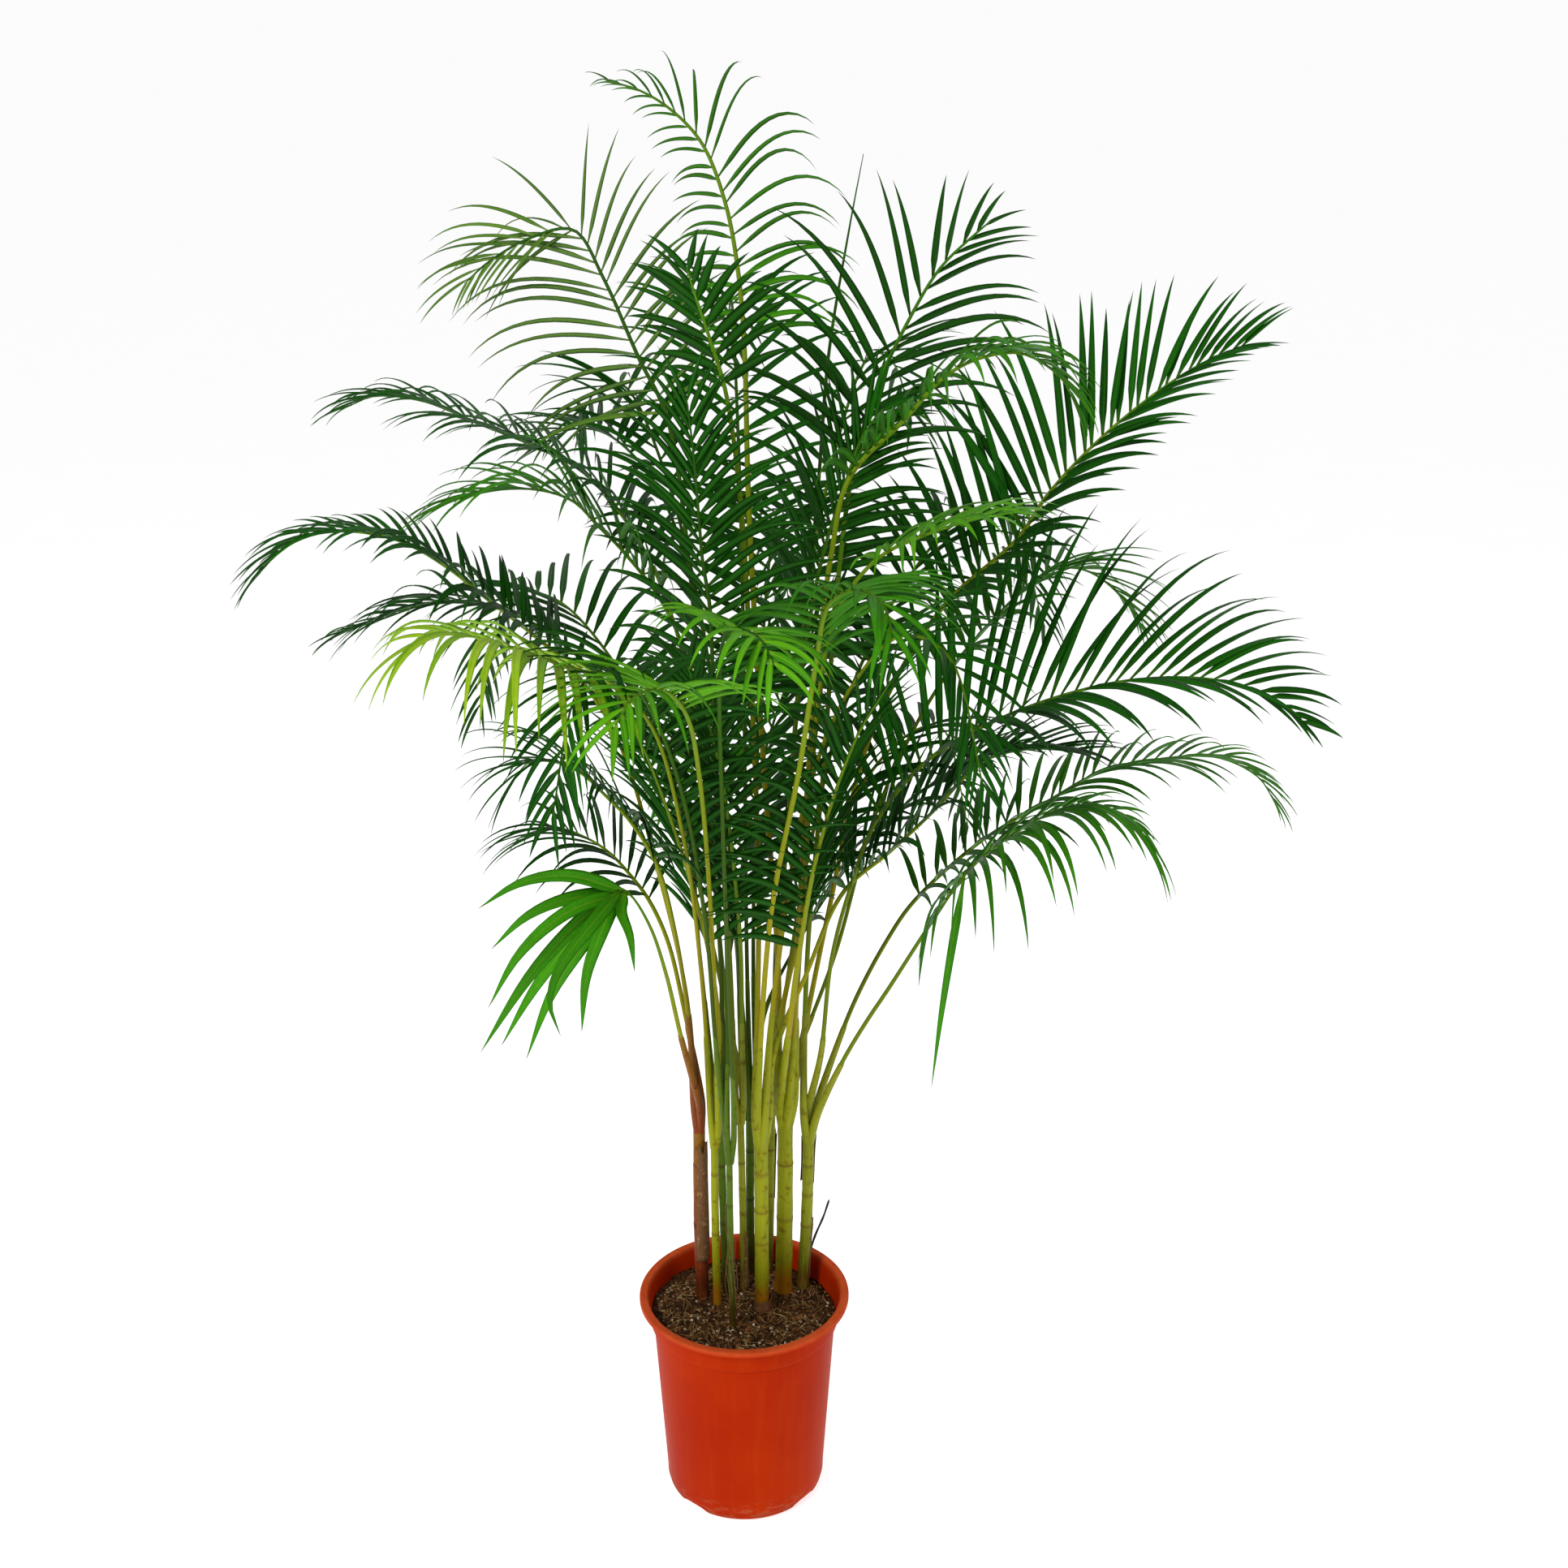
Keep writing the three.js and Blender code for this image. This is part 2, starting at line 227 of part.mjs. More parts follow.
    points: [[6.0, 94.2, 428.9], [5.8, 98.0, 456.0], [2.9, 108.2, 644.1], [1.7, 136.0, 861.0], [-1.0, 174.0, 1077.0], [-7.0, 237.0, 1240.0], [-13.0, 306.0, 1330.0], [-18.0, 368.0, 1316.0], [-23.0, 418.0, 1260.0]],
  },
  {
    name: "frond_back_right_high", leafStart: 4, leaflet: 165, pairs: 5, droop: 0.9, vee: 22, side: null, roll: 0,
    width: 10.5, baseAngle: 68, tipAngle: 24, sides: [1, 1], tipRatio: 0.4, radius: 2.3, tone: 3,
    points: [[26.1, 96.9, 431.9], [26.3, 99.5, 459.0], [40.2, 112.1, 632.1], [54.0, 139.0, 834.0], [74.0, 177.0, 1035.0], [106.0, 237.0, 1186.0], [142.0, 304.0, 1270.0], [174.0, 364.0, 1257.0], [199.0, 412.0, 1190.0]],
  },
  {
    name: "frond_back_left_high", leafStart: 4, leaflet: 160, pairs: 5, droop: 0.9, vee: 22, side: null, roll: 0,
    width: 10.5, baseAngle: 68, tipAngle: 24, sides: [1, 1], tipRatio: 0.4, radius: 2.1, tone: 5,
    points: [[6.0, 83.8, 428.9], [4.4, 84.4, 456.0], [-7.0, 105.0, 623.0], [-23.0, 127.0, 818.0], [-48.0, 159.0, 1013.0], [-88.0, 210.0, 1159.0], [-132.0, 266.0, 1240.0], [-172.0, 317.0, 1228.0], [-203.0, 357.0, 1170.0]],
  },
  {
    name: "frond_back_mid", leafStart: 4, leaflet: 160, pairs: 5, droop: 1.0, vee: 22, side: null, roll: 0,
    width: 10.5, baseAngle: 68, tipAngle: 24, sides: [1, 1], tipRatio: 0.4, radius: 2.1, tone: 3,
    points: [[10.5, 91.6, 428.9], [12.7, 95.8, 456.0], [10.3, 117.2, 583.9], [12.0, 149.0, 741.0], [18.0, 200.0, 897.0], [26.0, 281.0, 1015.0], [36.0, 371.0, 1080.0], [44.0, 452.0, 1070.0], [51.0, 517.0, 940.0]],
  },
  {
    name: "frond_back_left_mid", leafStart: 4, leaflet: 150, pairs: 5, droop: 1.0, vee: 22, side: null, roll: 0,
    width: 10.5, baseAngle: 68, tipAngle: 24, sides: [1, 1], tipRatio: 0.4, radius: 2.2, tone: 5,
    points: [[-1.2, 48.8, 446.9], [-2.0, 52.5, 474.0], [-21.1, 61.0, 581.3], [-49.3, 77.2, 717.8], [-86.0, 110.0, 852.0], [-146.0, 157.0, 954.0], [-212.0, 209.0, 1010.0], [-272.0, 255.0, 1002.0], [-319.0, 292.0, 860.0]],
  },
  {
    name: "frond_back_right_mid", leafStart: 4, leaflet: 150, pairs: 5, droop: 1.0, vee: 22, side: null, roll: 0,
    width: 10.5, baseAngle: 68, tipAngle: 24, sides: [1, 1], tipRatio: 0.4, radius: 2.3, tone: 3,
    points: [[31.5, 98.6, 431.9], [34.3, 101.7, 459.0], [50.0, 110.0, 589.0], [76.0, 130.0, 747.0], [116.0, 161.0, 905.0], [179.0, 210.0, 1024.0], [248.0, 265.0, 1090.0], [311.0, 314.0, 1080.0], [361.0, 353.0, 950.0]],
  },
  {
    name: "frond_back_low", leafStart: 4, leaflet: 130, pairs: 5, droop: 1.0, vee: 22, side: null, roll: 0,
    width: 10.5, baseAngle: 68, tipAngle: 24, sides: [1, 1], tipRatio: 0.4, radius: 2.1, tone: 6,
    points: [[1.5, 91.6, 428.9], [-1.1, 95.7, 455.9], [-3.4, 111.6, 526.8], [-10.0, 137.0, 626.0], [-23.0, 178.0, 725.0], [-44.0, 243.0, 799.0], [-67.0, 315.0, 840.0], [-89.0, 380.0, 834.0], [-105.0, 431.0, 690.0]],
  },
  {
    name: "frond_back_right_low", leafStart: 4, leaflet: 130, pairs: 5, droop: 1.0, vee: 22, side: null, roll: 0,
    width: 10.5, baseAngle: 68, tipAngle: 24, sides: [1, 1], tipRatio: 0.4, radius: 2.7, tone: 3,
    points: [[21.8, -4.6, 449.9], [24.0, -1.3, 477.0], [35.2, 5.7, 548.0], [55.2, 27.7, 646.0], [84.0, 61.0, 745.0], [131.0, 114.0, 819.0], [183.0, 171.0, 860.0], [230.0, 224.0, 854.0], [268.0, 265.0, 720.0]],
  },
  {
    name: "frond_front_right_mid", leafStart: 4, leaflet: 130, pairs: 5, droop: 1.2, vee: 22, side: null, roll: 0,
    width: 10.5, baseAngle: 68, tipAngle: 24, sides: [1, 1], tipRatio: 0.4, radius: 2.7, tone: 5,
    points: [[21.8, -15.4, 449.9], [23.6, -18.7, 477.0], [32.0, -26.0, 596.0], [48.0, -46.0, 742.0], [73.0, -78.0, 889.0], [111.0, -127.0, 999.0], [154.0, -182.0, 1060.0], [193.0, -231.0, 1051.0], [223.0, -270.0, 940.0]],
  },
  {
    name: "frond_front_left_mid", leafStart: 4, leaflet: 130, pairs: 5, droop: 1.2, vee: 22, side: null, roll: 0,
    width: 10.5, baseAngle: 68, tipAngle: 24, sides: [1, 1], tipRatio: 0.4, radius: 2.1, tone: 3,
    points: [[-15.6, -43.3, 447.9], [-18.2, -42.8, 475.1], [-26.7, -59.7, 589.6], [-34.1, -83.1, 732.0], [-51.1, -115.1, 874.0], [-77.0, -165.0, 981.0], [-107.0, -221.0, 1040.0], [-134.0, -271.0, 1031.0], [-155.0, -311.0, 930.0]],
  },
];

const COLOURS = {
  pot: 0xc8340a,
  soil: 0x4a3524,
  stick: 0x4a4640,
  cane: { green: 0x7d8a2c, brown: 0x6d4030, yellow: 0xa3a838, dark: 0x4c5a24 },
  frond: [0x2c6a24, 0x2f7326, 0x527a45, 0x17401c, 0x3f9a2a, 0x1f5a20, 0x3a7c2c, 0x79b02c],
};

// ---- helpers ----
const material = (color, roughness, metalness = 0) => new THREE.MeshStandardMaterial({ color, roughness, metalness });

// A closed geometry as a solid that can be joined and cut.
function solid(geometry) {
  const g = geometry.clone();
  g.deleteAttribute("normal");
  g.deleteAttribute("uv");
  const m = mergeVertices(g, 1e-4);
  return new wasm.Manifold(
    new wasm.Mesh({ numProp: 3, vertProperties: new Float32Array(m.attributes.position.array), triVerts: new Uint32Array(m.index.array) }),
  );
}

function geometryOf(s) {
  const m = s.getMesh();
  const v = new Float32Array(m.numVert * 3);
  for (let i = 0; i < m.numVert; i++) v.set(m.vertProperties.subarray(i * m.numProp, i * m.numProp + 3), i * 3);
  const g = new THREE.BufferGeometry();
  g.setAttribute("position", new THREE.BufferAttribute(v, 3));
  g.setIndex(new THREE.BufferAttribute(new Uint32Array(m.triVerts), 1));
  const flat = g.toNonIndexed();
  flat.computeVertexNormals();
  return flat;
}

// The same solid with its corners moved onto a fine grid, so that no edge or sliver is shorter than the grid's step.
function cleaned(s) {
  const m = s.getMesh();
  let second = null;
  for (const step of GRIDS) {
    const ids = new Map();
    const points = [];
    const index = [];
    for (let i = 0; i < m.numVert; i++) {
      const q = [0, 1, 2].map((k) => Math.round(m.vertProperties[i * m.numProp + k] / step));
      const key = q.join();
      if (!ids.has(key)) {
        ids.set(key, points.length / 3);
        points.push(...q.map((c) => c * step));
      }
      index.push(ids.get(key));
    }
    const tris = [];
    for (let i = 0; i < m.triVerts.length; i += 3) {
      const [a, b, c] = [0, 1, 2].map((k) => index[m.triVerts[i + k]]);
      if (a !== b && b !== c && c !== a) tris.push(a, b, c);
    }
    try {
      const made = new wasm.Manifold(new wasm.Mesh({ numProp: 3, vertProperties: new Float32Array(points), triVerts: new Uint32Array(tris) }));
      const out = made.simplify(step / 2);
      if (out.decompose().length !== 1 || Math.abs(out.volume() - s.volume()) > 0.01 * s.volume() || !simple(out)) continue;
      if (thinnest(out) > THIN) return out;
      if (!second || thinnest(out) > thinnest(second)) second = out;
    } catch {
      // this step welded the surface to itself: try the next one
    }
  }
  if (!second) console.log("no grid fits a solid of", s.numTri(), "triangles");
  return second ?? s;
}
// No two corners in one place, and each edge shared by exactly two faces.
function simple(s) {
  const m = s.getMesh();
  const ids = new Map();
  const index = [];
  for (let i = 0; i < m.numVert; i++) {
    const key = [0, 1, 2].map((k) => Math.round(m.vertProperties[i * m.numProp + k] * 1e3)).join();
    if (ids.has(key)) return false;
    ids.set(key, i);
    index.push(i);
  }
  const uses = new Map();
  for (let i = 0; i < m.triVerts.length; i += 3) {
    for (let k = 0; k < 3; k++) {
      const a = index[m.triVerts[i + k]];
      const b = index[m.triVerts[i + ((k + 1) % 3)]];
      const key = a < b ? a + "_" + b : b + "_" + a;
      uses.set(key, (uses.get(key) ?? 0) + 1);
    }
  }
  return [...uses.values()].every((n) => n === 2);
}
// The least height of any face, or length of any edge.
function thinnest(s) {
  const m = s.getMesh();
  const at = (i) => new THREE.Vector3(...m.vertProperties.subarray(i * m.numProp, i * m.numProp + 3));
  let least = Infinity;
  for (let i = 0; i < m.triVerts.length; i += 3) {
    const [a, b, c] = [0, 1, 2].map((k) => at(m.triVerts[i + k]));
    const sides = [a.distanceTo(b), b.distanceTo(c), c.distanceTo(a)];
    least = Math.min(least, b.clone().sub(a).cross(c.clone().sub(a)).length() / Math.max(...sides));
  }
  return least;
}

// A lathe about +Z from [radius, z] pairs that start and end on the axis, bottom first.
function lathe(profile, sides) {
  const g = new THREE.LatheGeometry(profile.map(([r, z]) => new THREE.Vector2(r, z)), sides);
  g.rotateX(Math.PI / 2);
  return g;
}

const chance = (a, b) => {
  const x = Math.sin(a * 127.1 + b * 311.7 + 17.3) * 43758.5453;
  return x - Math.floor(x);
};
const V = (a) => new THREE.Vector3(a[0], a[1], a[2]);
const rad = THREE.MathUtils.degToRad;

// ---- pot ----
function potSolid() {
  const body = (z) => BODY_BASE_RADIUS + ((BODY_TOP_RADIUS - BODY_BASE_RADIUS) * (z - 16)) / (COLLAR_BOTTOM - 2 - 16);
  const profile = [
    [0, 0],
    [CENTRE_PAD_RADIUS, 0],
    [CENTRE_PAD_RADIUS + 4, FLOOR_UNDERSIDE],
    [FOOT_RING_INNER, FLOOR_UNDERSIDE],
    [FOOT_RING_INNER + 2, 0],
    [85.6, 0],
    [88.6, 1.6],
    [90.2, 5],
    [90.6, 9.4],
    [BODY_BASE_RADIUS, 11],
    [BODY_BASE_RADIUS, 16],
    [body(110), 110],
    [BODY_TOP_RADIUS, COLLAR_BOTTOM - 3],
    [COLLAR_RADIUS - 1, COLLAR_BOTTOM],
    [COLLAR_RADIUS, COLLAR_BOTTOM + 1.5],
    [COLLAR_RADIUS + 0.8, POT_HEIGHT - LIP_HEIGHT],
    [RIM_RADIUS - 1.2, POT_HEIGHT - LIP_HEIGHT],
    [RIM_RADIUS, POT_HEIGHT - LIP_HEIGHT + 1.4],
    [RIM_RADIUS, POT_HEIGHT - 1.6],
    [RIM_RADIUS - 1.6, POT_HEIGHT],
    [RIM_INNER_RADIUS + 1.4, POT_HEIGHT],
    [RIM_INNER_RADIUS, POT_HEIGHT - 1.6],
    [COLLAR_RADIUS - WALL, POT_HEIGHT - 12],
    [COLLAR_RADIUS - WALL - 1, COLLAR_BOTTOM + 1],
    [BODY_TOP_RADIUS - WALL, COLLAR_BOTTOM - 5],
    [BODY_BASE_RADIUS - WALL, 16],
    [BODY_BASE_RADIUS - WALL - 4, FLOOR_TOP],
    [CENTRE_PAD_RADIUS + 6.5, FLOOR_TOP],
    [CENTRE_PAD_RADIUS + 2.5, PAD_TOP],
    [0, PAD_TOP],
  ];
  let pot = solid(lathe(profile, ROUND));
  for (let i = 0; i < FOOT_ARCHES; i++) {
    const a = rad(-90 + FOOT_ARCH_FIRST + (360 / FOOT_ARCHES) * i);
    const arch = new THREE.CylinderGeometry(1, 1, 40, 12);
    arch.scale(FOOT_ARCH_WIDTH / 2, 1, FOOT_ARCH_HEIGHT);
    arch.translate(0, 86, 0);
    arch.rotateZ(a - Math.PI / 2);
    pot = pot.subtract(solid(arch).trimByPlane([0, 0, -1], -7.8));
  }
  for (let i = 0; i < DRAIN_HOLES; i++) {
    const a = (i * 2 * Math.PI) / DRAIN_HOLES;
    const hole = new THREE.CylinderGeometry(DRAIN_RADIUS, DRAIN_RADIUS, 12, 10);
    hole.rotateX(Math.PI / 2);
    hole.translate(DRAIN_CIRCLE * Math.cos(a), DRAIN_CIRCLE * Math.sin(a), (FLOOR_UNDERSIDE + FLOOR_TOP) / 2);
    pot = pot.subtract(solid(hole));
  }
  return pot;
}

// ---- soil ----
const soilHeight = (x, y) => {
  const r = Math.hypot(x, y) / 103;
  return SOIL_LEVEL + 2.5 - 0.045 * x - 0.01 * y + 2.2 * Math.sin(x / 17 + 1) * Math.cos(y / 14) - 2.5 * r * r;
};
function soilSolid(canes) {
  const R = (z) => BODY_BASE_RADIUS - WALL - GAP - 0.4 + ((BODY_TOP_RADIUS - BODY_BASE_RADIUS) * (z - 16)) / (COLLAR_BOTTOM - 5 - 16);
  const rings = [94, 74, 52, 28];
  const profile = [
    [0, PAD_TOP + GAP],
    [CENTRE_PAD_RADIUS + 1.9, PAD_TOP + GAP],
    [CENTRE_PAD_RADIUS + 5.9, FLOOR_TOP + GAP],
    [BODY_BASE_RADIUS - WALL - 5.2, FLOOR_TOP + GAP],
    [R(20) - 1, 20],
    [R(COLLAR_BOTTOM - 5) - 0.4, COLLAR_BOTTOM - 5],
    [COLLAR_RADIUS - WALL - 2.4, COLLAR_BOTTOM + 4],
    ...rings.map((r) => [r, SOIL_LEVEL]),
    [0, SOIL_LEVEL],
  ];
  const g = lathe(profile, 24);
  const p = g.attributes.position;
  for (let i = 0; i < p.count; i++)
    if (p.getZ(i) > SOIL_LEVEL - 0.5) p.setZ(i, soilHeight(p.getX(i), p.getY(i)));
  let soil = solid(g);
  for (const c of canes) soil = soil.subtract(caneSolid(c, GAP));
  const stick = stickSolid(GAP);
  return soil.subtract(stick);
}

// ---- canes ----
// A lathe with ring scars, turned onto the line from the cane's foot to its top. `grow` fattens it into the tool that cuts its hole.
function caneSolid(c, grow = 0) {
  const foot = V(c.foot);
  const top = V(c.top);
  const dir = top.clone().sub(foot).normalize();
  const length = top.distanceTo(foot) + CANE_DEPTH;
  const at = (z) => c.r0 + ((c.r1 - c.r0) * Math.max(0, z - CANE_DEPTH)) / (length - CANE_DEPTH);
  const profile = [[0, -grow]];
  profile.push([c.r0 * 0.82 + grow, -grow]);
  profile.push([c.r0 * 1.12 + grow, CANE_DEPTH - 2], [c.r0 * 1.12 + grow, CANE_DEPTH + 4], [at(CANE_DEPTH + 18) + grow, CANE_DEPTH + 18]);
  const rings = c.rings ?? 1;
  for (let i = 1; i <= rings; i++) {
    const z = CANE_DEPTH + 18 + ((length - CANE_DEPTH - 40) * i) / (rings + 1);
    profile.push([at(z) + grow, z - 3], [at(z) + 0.7 + grow, z], [at(z) * 0.97 + grow, z + 2]);
  }
  profile.push([c.r1 + grow, length - 8], [c.r1 * 0.94 + grow, length + grow], [0, length + grow]);
  const g = lathe(profile, CANE_SIDES);
  g.applyQuaternion(new THREE.Quaternion().setFromUnitVectors(new THREE.Vector3(0, 0, 1), dir));
  g.translate(foot.x - dir.x * CANE_DEPTH, foot.y - dir.y * CANE_DEPTH, foot.z - dir.z * CANE_DEPTH);
  return solid(g);
}

// ---- dry stick stuck in the soil ----
const STICK = { foot: [55.8, 61.4, 200.0], top: [99, 70, 323], radius: 1.7 };
function stickSolid(grow = 0) {
  const a = V(STICK.foot);
  const b = V(STICK.top);
  const dir = b.clone().sub(a).normalize();
  const length = a.distanceTo(b);
  const g = new THREE.CylinderGeometry(STICK.radius * 0.8 + grow, STICK.radius + grow, length + grow, 6);
  g.translate(0, length / 2 - grow / 2, 0);
  g.applyQuaternion(new THREE.Quaternion().setFromUnitVectors(new THREE.Vector3(0, 1, 0), dir));
  g.translate(a.x, a.y, a.z);
  return solid(g);
}

// ---- fronds ----
function stalkCurve(f) {
  return new THREE.CatmullRomCurve3(f.points.map(V), false, "centripetal");
}
// Bends a geometry that stands on +Y, from y = 0 to y = 1, along `path(t)` with section axes side(t) and up(t).
function bend(g, path) {
  const p = g.attributes.position;
  for (let i = 0; i < p.count; i++) {
    const { point, side, up, wide, thick } = path(p.getY(i));
    const q = point.clone().addScaledVector(side, p.getX(i) * wide).addScaledVector(up, p.getZ(i) * thick);
    p.setXYZ(i, q.x, q.y, q.z);
  }
  return g;
}
function sideOf(f) {
  if (f.side) return V(f.side).normalize();
  const a = f.points[f.leafStart];
  const b = f.points[f.points.length - 1];
  const h = new THREE.Vector3(b[0] - a[0], b[1] - a[1], 0).normalize();
  return new THREE.Vector3(-h.y, h.x, 0);
}
function stalkSolid(f) {
  const curve = stalkCurve(f);
  const steps = f.steps ?? RACHIS_STEPS;
  const g = new THREE.CylinderGeometry(1, 1, 1, 4, steps);
  g.rotateY(Math.PI / 4);
  g.translate(0, 0.5, 0);
  const S = sideOf(f);
  bend(g, (t) => {
    const u = Math.min(1, Math.max(0, t));
    const tangent = curve.getTangent(u);
    const side = S.clone().addScaledVector(tangent, -S.dot(tangent)).normalize();
    if (t < 1e-4) {
      tangent.set(0, 0, 1);
      side.copy(S).setZ(0).normalize();
    }
    const up = new THREE.Vector3().crossVectors(side, tangent).normalize();
    const r = f.radius * (1 - u) ** 0.8 * 1.15 + RACHIS_TIP_RADIUS;
    const rr = Math.min(f.radius, r) * 1.15; // a square section's corners
    return { point: curve.getPoint(u), side, up, wide: rr, thick: rr };
  });
  return solid(g);
}
// The leaflets of one frond, as curves: along the stalk from the leaf start, one to each side, arching under their weight.
function leaflets(f, index) {
  const curve = stalkCurve(f);
  const n = f.points.length - 1;
  const from = f.leafStart / n;
  const samples = [];
  for (let i = 0; i <= 60; i++) samples.push(curve.getPoint(from + ((1 - from) * i) / 60));
  const run = [0];
  for (let i = 1; i <= 60; i++) run.push(run[i - 1] + samples[i].distanceTo(samples[i - 1]));
  const S = sideOf(f);
  const out = [];
  const K = 8;
  for (let i = 0; i < f.pairs; i++)
    for (const sd of [-1, 1]) {
      const r = (k) => chance(index * 13.7 + i * 1.31, sd * 5.1 + k * 2.7);
      const w = Math.min(0.995, Math.max(0, (i + 0.5 + (sd > 0 ? 0.18 : -0.18) + (r(0) - 0.5) * 0.25) / f.pairs));
      const q = w * run[60];
      let j = 0;
      while (j < 59 && run[j + 1] < q) j++;
      const a = (q - run[j]) / Math.max(1e-9, run[j + 1] - run[j]);
      const p = samples[j].clone().lerp(samples[j + 1], a);
      const T = samples[Math.min(60, j + 2)].clone().sub(samples[Math.max(0, j - 1)]).normalize();
      let B = S.clone().addScaledVector(T, -S.dot(T)).normalize();
      let N = new THREE.Vector3().crossVectors(T, B);
      if (N.z < 0) N.negate();
      const ro = rad(f.roll);
      [B, N] = [B.clone().multiplyScalar(Math.cos(ro)).addScaledVector(N, Math.sin(ro)), N.clone().multiplyScalar(Math.cos(ro)).addScaledVector(B, -Math.sin(ro))];
      const L = f.leaflet * (w < 0.3 ? 0.72 + (0.28 * w) / 0.3 : 1 - (1 - f.tipRatio) * ((w - 0.3) / 0.7) ** 1.4) * f.sides[sd < 0 ? 0 : 1] * (0.92 + 0.16 * r(1));
      const ph = rad(f.baseAngle + (f.tipAngle - f.baseAngle) * w ** 1.25 + (r(2) - 0.5) * 10);
      const v = rad(f.vee * (1 - 0.45 * w) + (r(3) - 0.5) * 16);
      const d = T.clone().multiplyScalar(Math.cos(ph)).addScaledVector(B, Math.sin(ph) * Math.cos(v) * sd).addScaledVector(N, Math.sin(ph) * Math.sin(v));
      const dr = f.droop * (0.8 + 0.4 * r(4));
      const pts = [p.clone()];
      for (let k = 0; k < K; k++) {
        const t = (k + 0.5) / K;
        d.z -= dr * t ** 1.1 * (1.9 / K) * Math.sqrt(L / 150);
        d.normalize();
        pts.push(pts[k].clone().addScaledVector(d, L / K));
      }
      out.push({ pts, N, L, width: f.width });
    }
  // leaflets with a route of their own
  for (const route of f.routes ?? []) {
    const c = new THREE.CatmullRomCurve3(route.map(V), false, "centripetal");
    const T = c.getTangent(0);
    const N = new THREE.Vector3(0.25, -0.75, 0.6);
    N.addScaledVector(T, -N.dot(T)).normalize();
    out.push({ pts: c.getPoints(9), N, L: c.getLength(), width: f.width });
  }
  return out;
}
function leafletSolid(l, share) {
  const g = new THREE.ConeGeometry(1, 1, 3, 2);
  g.translate(0, 0.5, 0);
  const last = (l.pts.length - 1) * share;
  const at = (t) => {
    const q = t * last;
    const j = Math.min(l.pts.length - 2, Math.floor(q));
    return l.pts[j].clone().lerp(l.pts[j + 1], q - j);
  };
  bend(g, (t) => {
    const u = Math.min(1, Math.max(0, t));
    const tangent = at(Math.min(1, u + 0.1)).sub(at(Math.max(0, u - 0.1))).normalize();
    const up = l.N.clone().addScaledVector(tangent, -l.N.dot(tangent)).normalize();
    const side = new THREE.Vector3().crossVectors(up, tangent);
    // the cone narrows linearly; these factors turn it into a lance shape
    const half = u < 0.25 ? LEAFLET_FOOT : (0.5 * l.width) / (1 - u + 1e-6);
    return { point: at(u), side, up: up.negate(), wide: Math.min(half, l.width), thick: u < 0.25 ? LEAFLET_FOOT * 0.6 : LEAFLET_KEEL };
  });
  return solid(g);
}

// ---- assembly ----
const root = new THREE.Group();
root.name = "potted_palm";
function add(group, name, s, mat) {
  const mesh = new THREE.Mesh(geometryOf(s), mat);
  mesh.name = name;
  group.add(mesh);
}
const holder = new THREE.Group();
const plant = new THREE.Group();
root.add(holder, plant);

add(holder, "pot", potSolid(), material(COLOURS.pot, 0.5));
add(holder, "soil", soilSolid(CANES), material(COLOURS.soil, 0.95));
add(plant, "dry_stick", stickSolid(), material(COLOURS.stick, 0.9));
const placed = [];
const box = (s) => {
  const b = s.boundingBox();
  return { min: b.min, max: b.max };
};
const near = (a, b, pad = 0.3) => [0, 1, 2].every((k) => a.min[k] - pad <= b.max[k] && b.min[k] - pad <= a.max[k]);
for (const c of CANES) {
  const s = caneSolid(c);
  add(plant, c.name, s, material(COLOURS.cane[c.tone], 0.55));
  placed.push({ name: c.name, s, b: box(s) });
}
const clash = (s, except) => {
  const b = box(s);
  for (const o of placed) if (o.name !== except && near(b, o.b) && s.intersect(o.s).volume() > 1e-5) return o.name;
  return null;
};
// All the stalks first, then each frond's leaflets, left off or shortened where they would pass through another frond.
const stalks = FRONDS.map((f) => {
  const s = stalkSolid(f);
  const hit = clash(s, f.name);
  if (hit) console.warn(f.name + " stalk meets " + hit);
  placed.push({ name: f.name, s, b: box(s) });
  return s;
});
FRONDS.forEach((f, i) => {
  const parts = [stalks[i]];
  let dropped = 0;
  if (f.pairs || f.routes)
    for (const l of leaflets(f, i)) {
      let fit = null;
      for (const share of [1, 0.7, 0.45]) {
        const s = leafletSolid(l, share);
        if (!clash(s, f.name)) {
          fit = s;
          break;
        }
      }
      if (fit) parts.push(fit);
      else dropped++;
    }
  // pockets closed in where leaflets cross near the stalk are filled
  const joined = wasm.Manifold.union(parts).decompose().filter((b) => b.volume() > 0).sort((a, b) => b.volume() - a.volume())[0];
  const whole = cleaned(joined.simplify(SIMPLIFY));
  if (whole.getMesh().numTri && thinnest(whole) < 0.01) console.warn(f.name + " keeps a sliver of " + thinnest(whole).toFixed(5));
  placed.push({ name: f.name, s: whole, b: box(whole) });
  add(plant, f.name, whole, material(COLOURS.frond[f.tone], 0.5));
  if (dropped) console.warn(f.name + " left off " + dropped);
});

export default root;
